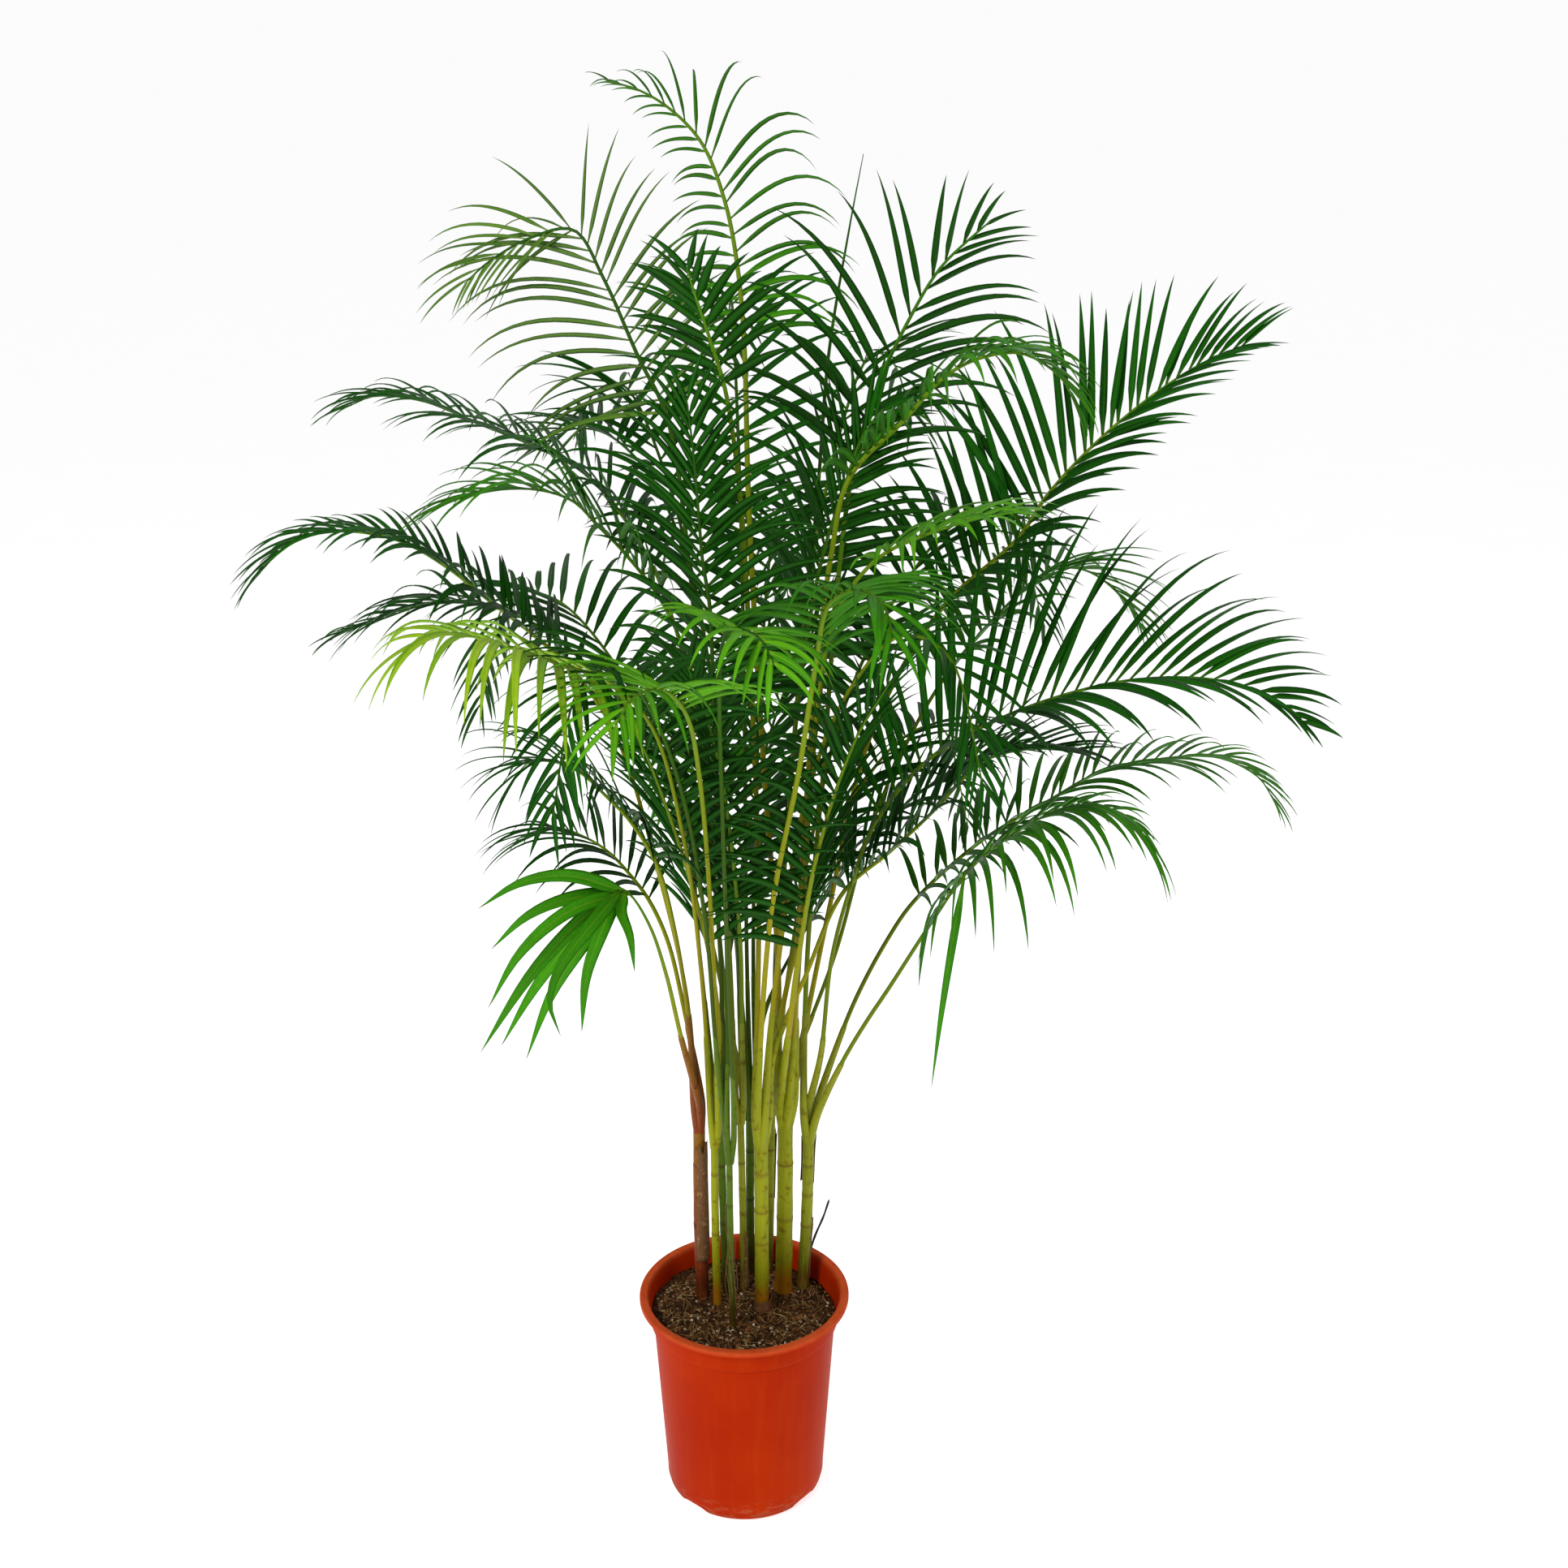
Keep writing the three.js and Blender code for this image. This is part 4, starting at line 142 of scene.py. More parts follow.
     "width": 9, "baseAngle": 56, "tipAngle": 22, "sides": [1, 1], "tipRatio": 0.4, "radius": 2.2,
     "points": [[-1.2, 43.2, 446.9], [-0.1, 35.8, 474.0], [0.0, -10.0, 580.0], [0.0, -40.0, 689.0], [-5.0, -75.0, 793.0], [-13.0, -110.0, 887.0], [-26.0, -150.0, 969.0], [-43.0, -185.0, 1033.0]]},
    {"name": "frond_centre_low_right", "stalk_of": "cane_7", "leaf": "deep", "stalk": "yellow", "shade": 0.35, "leafStart": 3, "leaflet": 155, "spacing": 13.2, "droop": 0.8, "vee": 26, "side": None, "roll": 0,
     "width": 9, "baseAngle": 56, "tipAngle": 22, "sides": [1, 1], "tipRatio": 0.4, "radius": 3.0,
     "points": [[41.9, 33.3, 448.9], [41.1, 24.4, 476.0], [51.0, -30.0, 590.0], [62.0, -55.0, 695.0], [76.0, -80.0, 795.0], [95.0, -105.0, 881.0], [119.0, -125.0, 954.0], [147.0, -140.0, 1007.0]]},
    {"name": "frond_centre_back_low", "stalk_of": "cane_3", "leaf": "deep", "stalk": "dark", "shade": 0.35, "leafStart": 3, "leaflet": 165, "spacing": 13.7, "droop": 0.8, "vee": 24, "side": None, "roll": 0,
     "width": 9, "baseAngle": 60, "tipAngle": 24, "sides": [1, 1], "tipRatio": 0.4, "radius": 2.4,
     "points": [[-22.5, 34.0, 439.9], [-20.0, 37.3, 467.0], [-23.3, 65.5, 565.6], [-9.4, 94.7, 671.6], [8.3, 119.0, 778.0], [31.0, 150.0, 873.0], [63.0, 175.0, 951.0], [104.0, 195.0, 1007.0]]},
    {"name": "frond_right_low_inner", "stalk_of": "cane_10", "leaf": "deep", "stalk": "dark", "shade": 0.6, "leafStart": 3, "leaflet": 165, "spacing": 12.2, "droop": 0.9, "vee": 24, "side": None, "roll": 0,
     "width": 9, "baseAngle": 60, "tipAngle": 24, "sides": [1, 1], "tipRatio": 0.4, "radius": 2.1,
     "points": [[10.5, 86.4, 428.9], [14.0, 87.1, 456.1], [22.6, 107.8, 543.2], [62.8, 125.9, 627.9], [110.0, 140.0, 702.0], [165.0, 150.0, 767.0], [229.0, 155.0, 819.0], [296.0, 155.0, 853.0]]},
    {"name": "frond_back_high", "stalk_of": "cane_10", "leaf": "deep", "stalk": "dark", "shade": 0.6, "leafStart": 4, "leaflet": 170, "spacing": 23.0, "droop": 0.8, "vee": 22, "side": None, "roll": 0,
     "width": 8.0, "baseAngle": 68, "tipAngle": 24, "sides": [1, 1], "tipRatio": 0.4, "radius": 2.1,
     "points": [[6.0, 94.2, 428.9], [5.8, 98.0, 456.0], [2.9, 108.2, 644.1], [1.7, 136.0, 861.0], [-1.0, 174.0, 1077.0], [-7.0, 237.0, 1240.0], [-13.0, 306.0, 1330.0], [-18.0, 368.0, 1316.0], [-23.0, 418.0, 1260.0]]},
    {"name": "frond_back_right_high", "stalk_of": "cane_9", "leaf": "deep", "stalk": "green", "shade": 0.35, "leafStart": 4, "leaflet": 165, "spacing": 23.0, "droop": 0.9, "vee": 22, "side": None, "roll": 0,
     "width": 8.0, "baseAngle": 68, "tipAngle": 24, "sides": [1, 1], "tipRatio": 0.4, "radius": 2.3,
     "points": [[26.1, 96.9, 431.9], [26.3, 99.5, 459.0], [40.2, 112.1, 632.1], [54.0, 139.0, 834.0], [74.0, 177.0, 1035.0], [106.0, 237.0, 1186.0], [142.0, 304.0, 1270.0], [174.0, 364.0, 1257.0], [199.0, 412.0, 1190.0]]},
    {"name": "frond_back_left_high", "stalk_of": "cane_10", "leaf": "deep", "stalk": "dark", "shade": 0.6, "leafStart": 4, "leaflet": 160, "spacing": 23.0, "droop": 0.9, "vee": 22, "side": None, "roll": 0,
     "width": 8.0, "baseAngle": 68, "tipAngle": 24, "sides": [1, 1], "tipRatio": 0.4, "radius": 2.1,
     "points": [[6.0, 83.8, 428.9], [4.4, 84.4, 456.0], [-7.0, 105.0, 623.0], [-23.0, 127.0, 818.0], [-48.0, 159.0, 1013.0], [-88.0, 210.0, 1159.0], [-132.0, 266.0, 1240.0], [-172.0, 317.0, 1228.0], [-203.0, 357.0, 1170.0]]},
    {"name": "frond_back_mid", "stalk_of": "cane_10", "leaf": "deep", "stalk": "dark", "shade": 0.35, "leafStart": 4, "leaflet": 160, "spacing": 19.0, "droop": 1.0, "vee": 22, "side": None, "roll": 0,
     "width": 8.5, "baseAngle": 68, "tipAngle": 24, "sides": [1, 1], "tipRatio": 0.4, "radius": 2.1,
     "points": [[10.5, 91.6, 428.9], [12.7, 95.8, 456.0], [10.3, 117.2, 583.9], [12.0, 149.0, 741.0], [18.0, 200.0, 897.0], [26.0, 281.0, 1015.0], [36.0, 371.0, 1080.0], [44.0, 452.0, 1070.0], [51.0, 517.0, 940.0]]},
    {"name": "frond_back_left_mid", "stalk_of": "cane_5", "leaf": "deep", "stalk": "green", "shade": 0.6, "leafStart": 4, "leaflet": 150, "spacing": 19.0, "droop": 1.0, "vee": 22, "side": None, "roll": 0,
     "width": 8.5, "baseAngle": 68, "tipAngle": 24, "sides": [1, 1], "tipRatio": 0.4, "radius": 2.2,
     "points": [[-1.2, 48.8, 446.9], [-2.0, 52.5, 474.0], [-21.1, 61.0, 581.3], [-49.3, 77.2, 717.8], [-86.0, 110.0, 852.0], [-146.0, 157.0, 954.0], [-212.0, 209.0, 1010.0], [-272.0, 255.0, 1002.0], [-319.0, 292.0, 860.0]]},
    {"name": "frond_back_right_mid", "stalk_of": "cane_9", "leaf": "deep", "stalk": "green", "shade": 0.35, "leafStart": 4, "leaflet": 150, "spacing": 19.0, "droop": 1.0, "vee": 22, "side": None, "roll": 0,
     "width": 8.5, "baseAngle": 68, "tipAngle": 24, "sides": [1, 1], "tipRatio": 0.4, "radius": 2.3,
     "points": [[31.5, 98.6, 431.9], [34.3, 101.7, 459.0], [50.0, 110.0, 589.0], [76.0, 130.0, 747.0], [116.0, 161.0, 905.0], [179.0, 210.0, 1024.0], [248.0, 265.0, 1090.0], [311.0, 314.0, 1080.0], [361.0, 353.0, 950.0]]},
    {"name": "frond_back_low", "stalk_of": "cane_10", "leaf": "green", "stalk": "dark", "shade": 0.6, "leafStart": 4, "leaflet": 130, "spacing": 17.5, "droop": 1.0, "vee": 22, "side": None, "roll": 0,
     "width": 8.5, "baseAngle": 68, "tipAngle": 24, "sides": [1, 1], "tipRatio": 0.4, "radius": 2.1,
     "points": [[1.5, 91.6, 428.9], [-1.1, 95.7, 455.9], [-3.4, 111.6, 526.8], [-10.0, 137.0, 626.0], [-23.0, 178.0, 725.0], [-44.0, 243.0, 799.0], [-67.0, 315.0, 840.0], [-89.0, 380.0, 834.0], [-105.0, 431.0, 690.0]]},
    {"name": "frond_back_right_low", "stalk_of": "cane_6", "leaf": "deep", "stalk": "yellow", "shade": 0.35, "leafStart": 4, "leaflet": 130, "spacing": 17.5, "droop": 1.0, "vee": 22, "side": None, "roll": 0,
     "width": 8.5, "baseAngle": 68, "tipAngle": 24, "sides": [1, 1], "tipRatio": 0.4, "radius": 2.7,
     "points": [[21.8, -4.6, 449.9], [24.0, -1.3, 477.0], [35.2, 5.7, 548.0], [55.2, 27.7, 646.0], [84.0, 61.0, 745.0], [131.0, 114.0, 819.0], [183.0, 171.0, 860.0], [230.0, 224.0, 854.0], [268.0, 265.0, 720.0]]},
    {"name": "frond_front_right_mid", "stalk_of": "cane_6", "leaf": "deep", "stalk": "yellow", "shade": 0.6, "leafStart": 4, "leaflet": 130, "spacing": 17.5, "droop": 1.2, "vee": 22, "side": None, "roll": 0,
     "width": 8.5, "baseAngle": 68, "tipAngle": 24, "sides": [1, 1], "tipRatio": 0.4, "radius": 2.7,
     "points": [[21.8, -15.4, 449.9], [23.6, -18.7, 477.0], [32.0, -26.0, 596.0], [48.0, -46.0, 742.0], [73.0, -78.0, 889.0], [111.0, -127.0, 999.0], [154.0, -182.0, 1060.0], [193.0, -231.0, 1051.0], [223.0, -270.0, 940.0]]},
    {"name": "frond_front_left_mid", "stalk_of": "cane_4", "leaf": "deep", "stalk": "dark", "shade": 0.35, "leafStart": 4, "leaflet": 130, "spacing": 16.9, "droop": 1.2, "vee": 22, "side": None, "roll": 0,
     "width": 8.5, "baseAngle": 68, "tipAngle": 24, "sides": [1, 1], "tipRatio": 0.4, "radius": 2.1,
     "points": [[-15.6, -43.3, 447.9], [-18.2, -42.8, 475.1], [-26.7, -59.7, 589.6], [-34.1, -83.1, 732.0], [-51.1, -115.1, 874.0], [-77.0, -165.0, 981.0], [-107.0, -221.0, 1040.0], [-134.0, -271.0, 1031.0], [-155.0, -311.0, 930.0]]},
]
STICK = ([55.8, 61.4, 200.0], [99, 70, 323])

# ---------------------------------------------------------------- small helpers
def rnd(a, b):
    x = math.sin(a * 127.1 + b * 311.7 + 17.3) * 43758.5453
    return x - math.floor(x)


def unit(v):
    return v / max(1e-9, float(np.linalg.norm(v)))


def spline(points, n=14):
    p = np.array(points, float)
    p = np.vstack([2 * p[0] - p[1], p, 2 * p[-1] - p[-2]])
    out, par = [], []
    d = lambda a, b: max(1e-6, float(np.linalg.norm(a - b)) ** 0.5)
    for i in range(1, len(p) - 2):
        p0, p1, p2, p3 = p[i - 1 : i + 3]
        t0 = 0.0
        t1 = t0 + d(p0, p1)
        t2 = t1 + d(p1, p2)
        t3 = t2 + d(p2, p3)
        for k in range(n):
            t = t1 + (t2 - t1) * k / n
            a1 = (t1 - t) / (t1 - t0) * p0 + (t - t0) / (t1 - t0) * p1
            a2 = (t2 - t) / (t2 - t1) * p1 + (t - t1) / (t2 - t1) * p2
            a3 = (t3 - t) / (t3 - t2) * p2 + (t - t2) / (t3 - t2) * p3
            b1 = (t2 - t) / (t2 - t0) * a1 + (t - t0) / (t2 - t0) * a2
            b2 = (t3 - t) / (t3 - t1) * a2 + (t - t1) / (t3 - t1) * a3
            out.append((t2 - t) / (t2 - t1) * b1 + (t - t1) / (t2 - t1) * b2)
            par.append(i - 1 + k / n)
    out.append(p[-2])
    par.append(float(len(p) - 3))
    return np.array(out), np.array(par)


def lengths(c):
    return np.r_[0, np.cumsum(np.linalg.norm(np.diff(c, axis=0), axis=1))]


def resample(c, count):
    s = lengths(c)
    q = np.linspace(0, s[-1], count)
    return np.stack([np.interp(q, s, c[:, k]) for k in range(3)], axis=1)


class Build:
    """Collects closed shells with UVs and one value per point, then makes one mesh object."""

    def __init__(self):
        self.v, self.f, self.uv, self.tone = [], [], [], []
        self.n = 0

    def add(self, verts, faces, uvs, tone):
        base = self.n
        self.v.append(np.asarray(verts, float))
        self.tone += [tone] * len(verts) if np.isscalar(tone) else list(tone)
        self.n += len(verts)
        for f, uv in zip(faces, uvs):
            self.f.append([base + i for i in f])
            self.uv += uv

    def make(self, name, material, smooth=True, sharp=None):
        mesh = bpy.data.meshes.new(name)
        mesh.from_pydata((np.vstack(self.v) * MM).tolist(), [], self.f)
        layer = mesh.uv_layers.new(name="along")
        layer.data.foreach_set("uv", np.array(self.uv, np.float32).ravel())
        tone = mesh.attributes.new("tone", "FLOAT", "POINT")
        tone.data.foreach_set("value", np.array(self.tone, np.float32))
        if smooth:
            mesh.polygons.foreach_set("use_smooth", [True] * len(mesh.polygons))
        mesh.materials.append(material)
        mesh.update()
        if sharp is not None:
            mesh.set_sharp_from_angle(angle=sharp)
        o = bpy.data.objects.new(name, mesh)
        bpy.context.scene.collection.objects.link(o)
        return o


def place(o, slot, *nodes):
    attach(o, "root")
    if nodes:
        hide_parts(*nodes)
    return o


def tube(build, centre, radii, side, sides=10, tone=0.5, squash=1.0, groove=0.0, v0=0.0, v1=1.0):
    """A closed tube along `centre` with a radius at each point."""
    c = np.asarray(centre, float)
    n = len(c)
    verts, ref = [], np.asarray(side, float)
    s = lengths(c)
    for i in range(n):
        t = unit(c[min(n - 1, i + 1)] - c[max(0, i - 1)])
        b = unit(ref - t * np.dot(ref, t))
        u = np.cross(b, t)
        for k in range(sides):
            a = 2 * math.pi * k / sides
            r = radii[i] * (1 - groove * max(0.0, math.cos(a - math.pi / 2)) ** 4)
            verts.append(c[i] + b * math.cos(a) * r + u * math.sin(a) * r * squash)
        ref = b
    faces, uvs = [], []
    for i in range(n - 1):
        va, vb = v0 + (v1 - v0) * s[i] / s[-1], v0 + (v1 - v0) * s[i + 1] / s[-1]
        for k in range(sides):
            m = (k + 1) % sides
            faces.append([i * sides + k, (i + 1) * sides + k, (i + 1) * sides + m, i * sides + m])
            ua, ub = k / sides, (k + 1) / sides
            uvs.append([(ua, va), (ua, vb), (ub, vb), (ub, va)])
    faces.append(list(range(sides)))
    uvs.append([(k / sides, v0) for k in range(sides)])
    faces.append([(n - 1) * sides + k for k in reversed(range(sides))])
    uvs.append([(k / sides, v1) for k in reversed(range(sides))])
    build.add(verts, faces, uvs, tone)


# ---------------------------------------------------------------- materials
def srgb(r, g, b):
    f = lambda c: (c / 255 / 12.92) if c / 255 <= 0.04045 else ((c / 255 + 0.055) / 1.055) ** 2.4
    return (f(r), f(g), f(b), 1.0)


class Nodes:
    def __init__(self, name, roughness=0.5, specular=0.5):
        self.m = bpy.data.materials.new(name)
        self.m.use_nodes = True
        self.t = self.m.node_tree
        self.t.nodes.clear()
        self.out = self.t.nodes.new("ShaderNodeOutputMaterial")
        self.p = self.t.nodes.new("ShaderNodeBsdfPrincipled")
        self.p.inputs["Roughness"].default_value = roughness
        self.p.inputs["Specular IOR Level"].default_value = specular
        self.t.links.new(self.p.outputs[0], self.out.inputs[0])

    def link(self, a, b):
        self.t.links.new(a, b)

    def put(self, socket, value):
        if hasattr(value, "links"):
            self.link(value, socket)
        elif value is not None:
            socket.default_value = value

    def node(self, kind, **settings):
        n = self.t.nodes.new(kind)
        for k, v in settings.items():
            setattr(n, k, v)
        return n

    def coord(self):
        return self.node("ShaderNodeTexCoord").outputs["Object"]

    def scaled(self, vec, s):
        n = self.node("ShaderNodeMapping")
        self.link(vec, n.inputs["Vector"])
        n.inputs["Scale"].default_value = s
        return n.outputs[0]

    def uv(self):
        n = self.node("ShaderNodeUVMap", uv_map="along")
        s = self.node("ShaderNodeSeparateXYZ")
        self.link(n.outputs[0], s.inputs[0])
        return s.outputs[0], s.outputs[1], n.outputs[0]

    def tone(self):
        return self.node("ShaderNodeAttribute", attribute_name="tone").outputs["Fac"]

    def noise(self, vec, scale, detail=3.0, rough=0.55, distortion=0.0):
        n = self.node("ShaderNodeTexNoise")
        self.put(n.inputs["Vector"], vec)
        n.inputs["Scale"].default_value = scale
        n.inputs["Detail"].default_value = detail
        n.inputs["Roughness"].default_value = rough
        n.inputs["Distortion"].default_value = distortion
        return n.outputs["Fac"]

    def math(self, op, a, b=None, c=None, clamp=False):
        n = self.node("ShaderNodeMath", operation=op, use_clamp=clamp)
        for s, v in zip(n.inputs, (a, b, c)):
            if v is not None:
                self.put(s, v)
        return n.outputs[0]

    def remap(self, v, a, b, c=0.0, d=1.0, smooth=False):
        n = self.node("ShaderNodeMapRange", clamp=True)
        if smooth:
            n.interpolation_type = "SMOOTHSTEP"
        self.link(v, n.inputs["Value"])
        for k, x in zip(("From Min", "From Max", "To Min", "To Max"), (a, b, c, d)):
            n.inputs[k].default_value = x
        return n.outputs[0]

    def mix(self, fac, a, b, blend="MIX"):
        n = self.node("ShaderNodeMix", data_type="RGBA", blend_type=blend)
        self.put(n.inputs["Factor"], fac)
        ins = [s for s in n.inputs if s.type == "RGBA"]
        self.put(ins[0], a)
        self.put(ins[1], b)
        return [s for s in n.outputs if s.type == "RGBA"][0]

    def ramp(self, fac, stops):
        n = self.node("ShaderNodeValToRGB")
        self.link(fac, n.inputs[0])
        r = n.color_ramp
        while len(r.elements) < len(stops):
            r.elements.new(0.5)
        for e, (p, c) in zip(r.elements, stops):
            e.position = p
            e.color = c
        return n.outputs[0]

    def bump(self, height, strength, distance):
        n = self.node("ShaderNodeBump")
        self.link(height, n.inputs["Height"])
        n.inputs["Strength"].default_value = strength
        n.inputs["Distance"].default_value = distance
        self.link(n.outputs[0], self.p.inputs["Normal"])

    def done(self, colour, rough=None):
        self.put(self.p.inputs["Base Color"], colour)
        if rough is not None:
            self.link(rough, self.p.inputs["Roughness"])
        return self.m


def leaf_material(name, dark, light, rib, under, tipc=(96, 82, 40), rough=0.46):
    n = Nodes(name, rough, 0.09)
    u, v, _ = n.uv()
    tone = n.tone()
    patch = n.noise(n.coord(), 26.0, 3.0)
    fine = n.noise(n.scaled(n.coord(), (1, 1, 1)), 190.0, 2.0)
    k = n.math("ADD", n.math("MULTIPLY", tone, 0.78), n.math("MULTIPLY", patch, 0.34))
    base = n.mix(n.remap(k, 0.12, 0.98), srgb(*dark), srgb(*light))
    base = n.mix(n.remap(fine, 0.35, 0.75, 0.0, 0.16), base, srgb(*dark))
    # paler, yellower where the leaflet leaves the stalk
    base = n.mix(n.remap(v, 0.14, 0.0, 0.0, 0.45, True), base, srgb(*rib))
    # the midrib, a narrow pale line on the upper face
    off = n.math("ABSOLUTE", n.math("SUBTRACT", u, 0.5))
    ribf = n.math("MULTIPLY", n.remap(off, 0.075, 0.02, 0.0, 1.0, True), n.remap(v, 0.97, 0.2, 0.05, 0.5))
    base = n.mix(ribf, base, srgb(*rib))
    # fine parallel veins
    veins = n.math("SINE", n.math("MULTIPLY", u, 118.0))
    base = n.mix(n.remap(veins, 0.2, 1.0, 0.0, 0.10), base, srgb(*light))
    # duller underside
    base = n.mix(n.remap(u, 1.04, 1.10, 0.0, 0.55), base, srgb(*under))
    # dry tips on some of the leaflets
    dry = n.math("MULTIPLY", n.remap(v, 0.925, 0.985, 0.0, 1.0, True), n.remap(n.math("FRACT", n.math("MULTIPLY", tone, 37.0)), 0.35, 0.7))
    base = n.mix(dry, base, srgb(*tipc))
    n.bump(n.math("ADD", veins, n.math("MULTIPLY", fine, 0.8)), 0.25, 0.0002)
    return n.done(base, n.remap(patch, 0.3, 0.75, rough - 0.08, rough + 0.14))


LEAF = {
    "green": leaf_material("leaf_mid_green", (8, 70, 3), (72, 164, 16), (128, 170, 34), (60, 118, 26)),
    "deep": leaf_material("leaf_deep_green", (2, 38, 2), (26, 112, 8), (76, 130, 20), (34, 88, 14)),
    "fresh": leaf_material("leaf_fresh_green", (18, 112, 4), (112, 196, 24), (160, 200, 44), (92, 152, 30)),
    # painted light: a brighter, yellower copy of the leaf green that stands in for direct light falling on the
    # front-left drooping frond
    "lime": leaf_material("leaf_lime_painted_direct_light", (62, 144, 6), (190, 224, 44), (206, 218, 76), (130, 176, 42)),
    # painted light: a paler, greyer copy of the leaf green that stands in for backlight through the high arching back
    # frond
    "pale": leaf_material("leaf_pale_painted_backlit", (34, 84, 18), (106, 150, 52), (146, 170, 74), (98, 134, 62)),
}


def stalk_material(name, low, mid, high, scurf):
    n = Nodes(name, 0.42, 0.10)
    u, v, uv = n.uv()
    base = n.ramp(v, [(0.0, srgb(*low)), (0.3, srgb(*low)), (0.62, srgb(*mid)), (1.0, srgb(*high))])
    streak = n.noise(n.scaled(uv, (16, 5, 1)), 5.0, 4.0)
    base = n.mix(n.remap(streak, 0.45, 0.8, 0.0, 0.5), base, srgb(*high))
    spots = n.noise(n.coord(), 420.0, 2.0)
    base = n.mix(n.remap(spots, 0.62, 0.72, 0.0, 0.55), base, srgb(*scurf))
    foot = n.noise(n.coord(), 60.0, 3.0)
    base = n.mix(n.math("MULTIPLY", n.remap(v, 0.09, 0.0, 0.0, 1.0, True), n.remap(foot, 0.35, 0.6)), base, srgb(*scurf))
    n.bump(n.math("ADD", streak, n.math("MULTIPLY", spots, 0.5)), 0.3, 0.0003)
    return n.done(base, n.remap(streak, 0.3, 0.8, 0.34, 0.55))


def cane_material(name, foot, low, mid, top, ring, patchc, patch_amount=0.4):
    n = Nodes(name, 0.45, 0.12)
    u, v, uv = n.uv()
    base = n.ramp(v, [(0.0, srgb(*foot)), (0.17, srgb(*foot)), (0.27, srgb(*low)), (0.6, srgb(*mid)), (1.0, srgb(*top))])
    streak = n.noise(n.scaled(uv, (9, 1.6, 1)), 4.0, 5.0, 0.6)
    base = n.mix(n.remap(streak, 0.48, 0.72, 0.0, patch_amount), base, srgb(*patchc))
    blot = n.noise(n.coord(), 95.0, 4.0, 0.6)
    base = n.mix(n.remap(blot, 0.56, 0.7, 0.0, patch_amount * 1.3), base, srgb(*ring))
    rings = n.tone()
    base = n.mix(rings, base, srgb(*ring))
    fine = n.noise(n.scaled(uv, (70, 3, 1)), 3.0, 2.0)
    n.bump(n.math("ADD", n.math("MULTIPLY", fine, 0.7), n.math("MULTIPLY", blot, 0.6)), 0.35, 0.0005)
    return n.done(base, n.remap(blot, 0.4, 0.7, 0.36, 0.68))


STALK = {
    "yellow": stalk_material("stalk_yellow_green", (158, 146, 14), (134, 150, 16), (72, 130, 18), (112, 76, 14)),
    "green": stalk_material("stalk_green", (112, 128, 14), (92, 130, 14), (50, 116, 14), (84, 66, 14)),
    "dark": stalk_material("stalk_dark_green", (66, 88, 8), (58, 96, 8), (30, 86, 8), (58, 46, 10)),
}
CANE = {
    "brown": cane_material("cane_brown_sheath", (84, 34, 14), (122, 46, 18), (132, 60, 22), (138, 100, 22), (70, 34, 14), (168, 104, 48), 0.5),
    "yellow": cane_material("cane_yellow_green", (156, 98, 10), (132, 130, 12), (156, 160, 18), (148, 152, 16), (112, 78, 16), (92, 120, 12), 0.6),
    "green": cane_material("cane_green", (96, 74, 12), (106, 114, 12), (140, 148, 20), (128, 136, 16), (104, 78, 18), (196, 184, 92), 0.5),
    "dark": cane_material("cane_dark_green", (62, 46, 12), (66, 82, 10), (74, 102, 12), (84, 114, 14), (58, 44, 12), (120, 128, 26), 0.4),
}


def dry_material(name, a, b, c):
    n = Nodes(name, 0.8, 0.25)
    _, _, uv = n.uv()
    g = n.noise(n.scaled(uv, (22, 3, 1)), 4.0, 5.0, 0.6)
    base = n.mix(n.remap(g, 0.35, 0.65), srgb(*a), srgb(*b))
    s = n.noise(n.coord(), 160.0, 3.0)
    base = n.mix(n.remap(s, 0.55, 0.7, 0.0, 0.7), base, srgb(*c))
    n.bump(g, 0.6, 0.0006)
    return n.done(base, n.remap(s, 0.3, 0.7, 0.65, 0.92))


DRY = dry_material("dry_stick_bark", (84, 76, 66), (54, 48, 42), (118, 108, 94))
PAPERY = dry_material("papery_sheath", (134, 96, 58), (98, 62, 38), (172, 138, 92))


def soil_material():
    n = Nodes("potting_soil", 0.95, 0.06)
    c = n.coord()
    big = n.noise(c, 70.0, 5.0, 0.65)
    mid = n.noise(c, 260.0, 4.0, 0.6)
    cell = n.node("ShaderNodeTexVoronoi", feature="F1")
    n.link(c, cell.inputs["Vector"])
    cell.inputs["Scale"].default_value = 330.0
    base = n.mix(n.remap(big, 0.32, 0.68), srgb(30, 17, 9), srgb(80, 52, 28))
    base = n.mix(n.remap(mid, 0.5, 0.72, 0.0, 0.75), base, srgb(108, 76, 44))
    grain = n.node("ShaderNodeSeparateColor")
    n.link(cell.outputs["Color"], grain.inputs[0])
    base = n.mix(n.remap(grain.outputs[0], 0.91, 0.94, 0.0, 0.8), base, srgb(172, 142, 96))
    base = n.mix(n.remap(grain.outputs[1], 0.8, 0.84, 0.0, 0.8), base, srgb(28, 18, 12))
    n.bump(n.math("ADD", n.math("MULTIPLY", mid, 1.2), cell.outputs["Distance"]), 0.9, 0.0016)
    return n.done(base, n.remap(mid, 0.3, 0.7, 0.8, 1.0))


def bit_material(name, a, b, c):
    n = Nodes(name, 0.85, 0.08)
    s = n.noise(n.coord(), 240.0, 4.0)
    base = n.mix(n.tone(), srgb(*a), srgb(*b))
    base = n.mix(n.remap(s, 0.45, 0.7, 0.0, 0.7), base, srgb(*c))
    n.bump(s, 0.6, 0.0006)
    return n.done(base, n.remap(s, 0.3, 0.7, 0.7, 0.95))


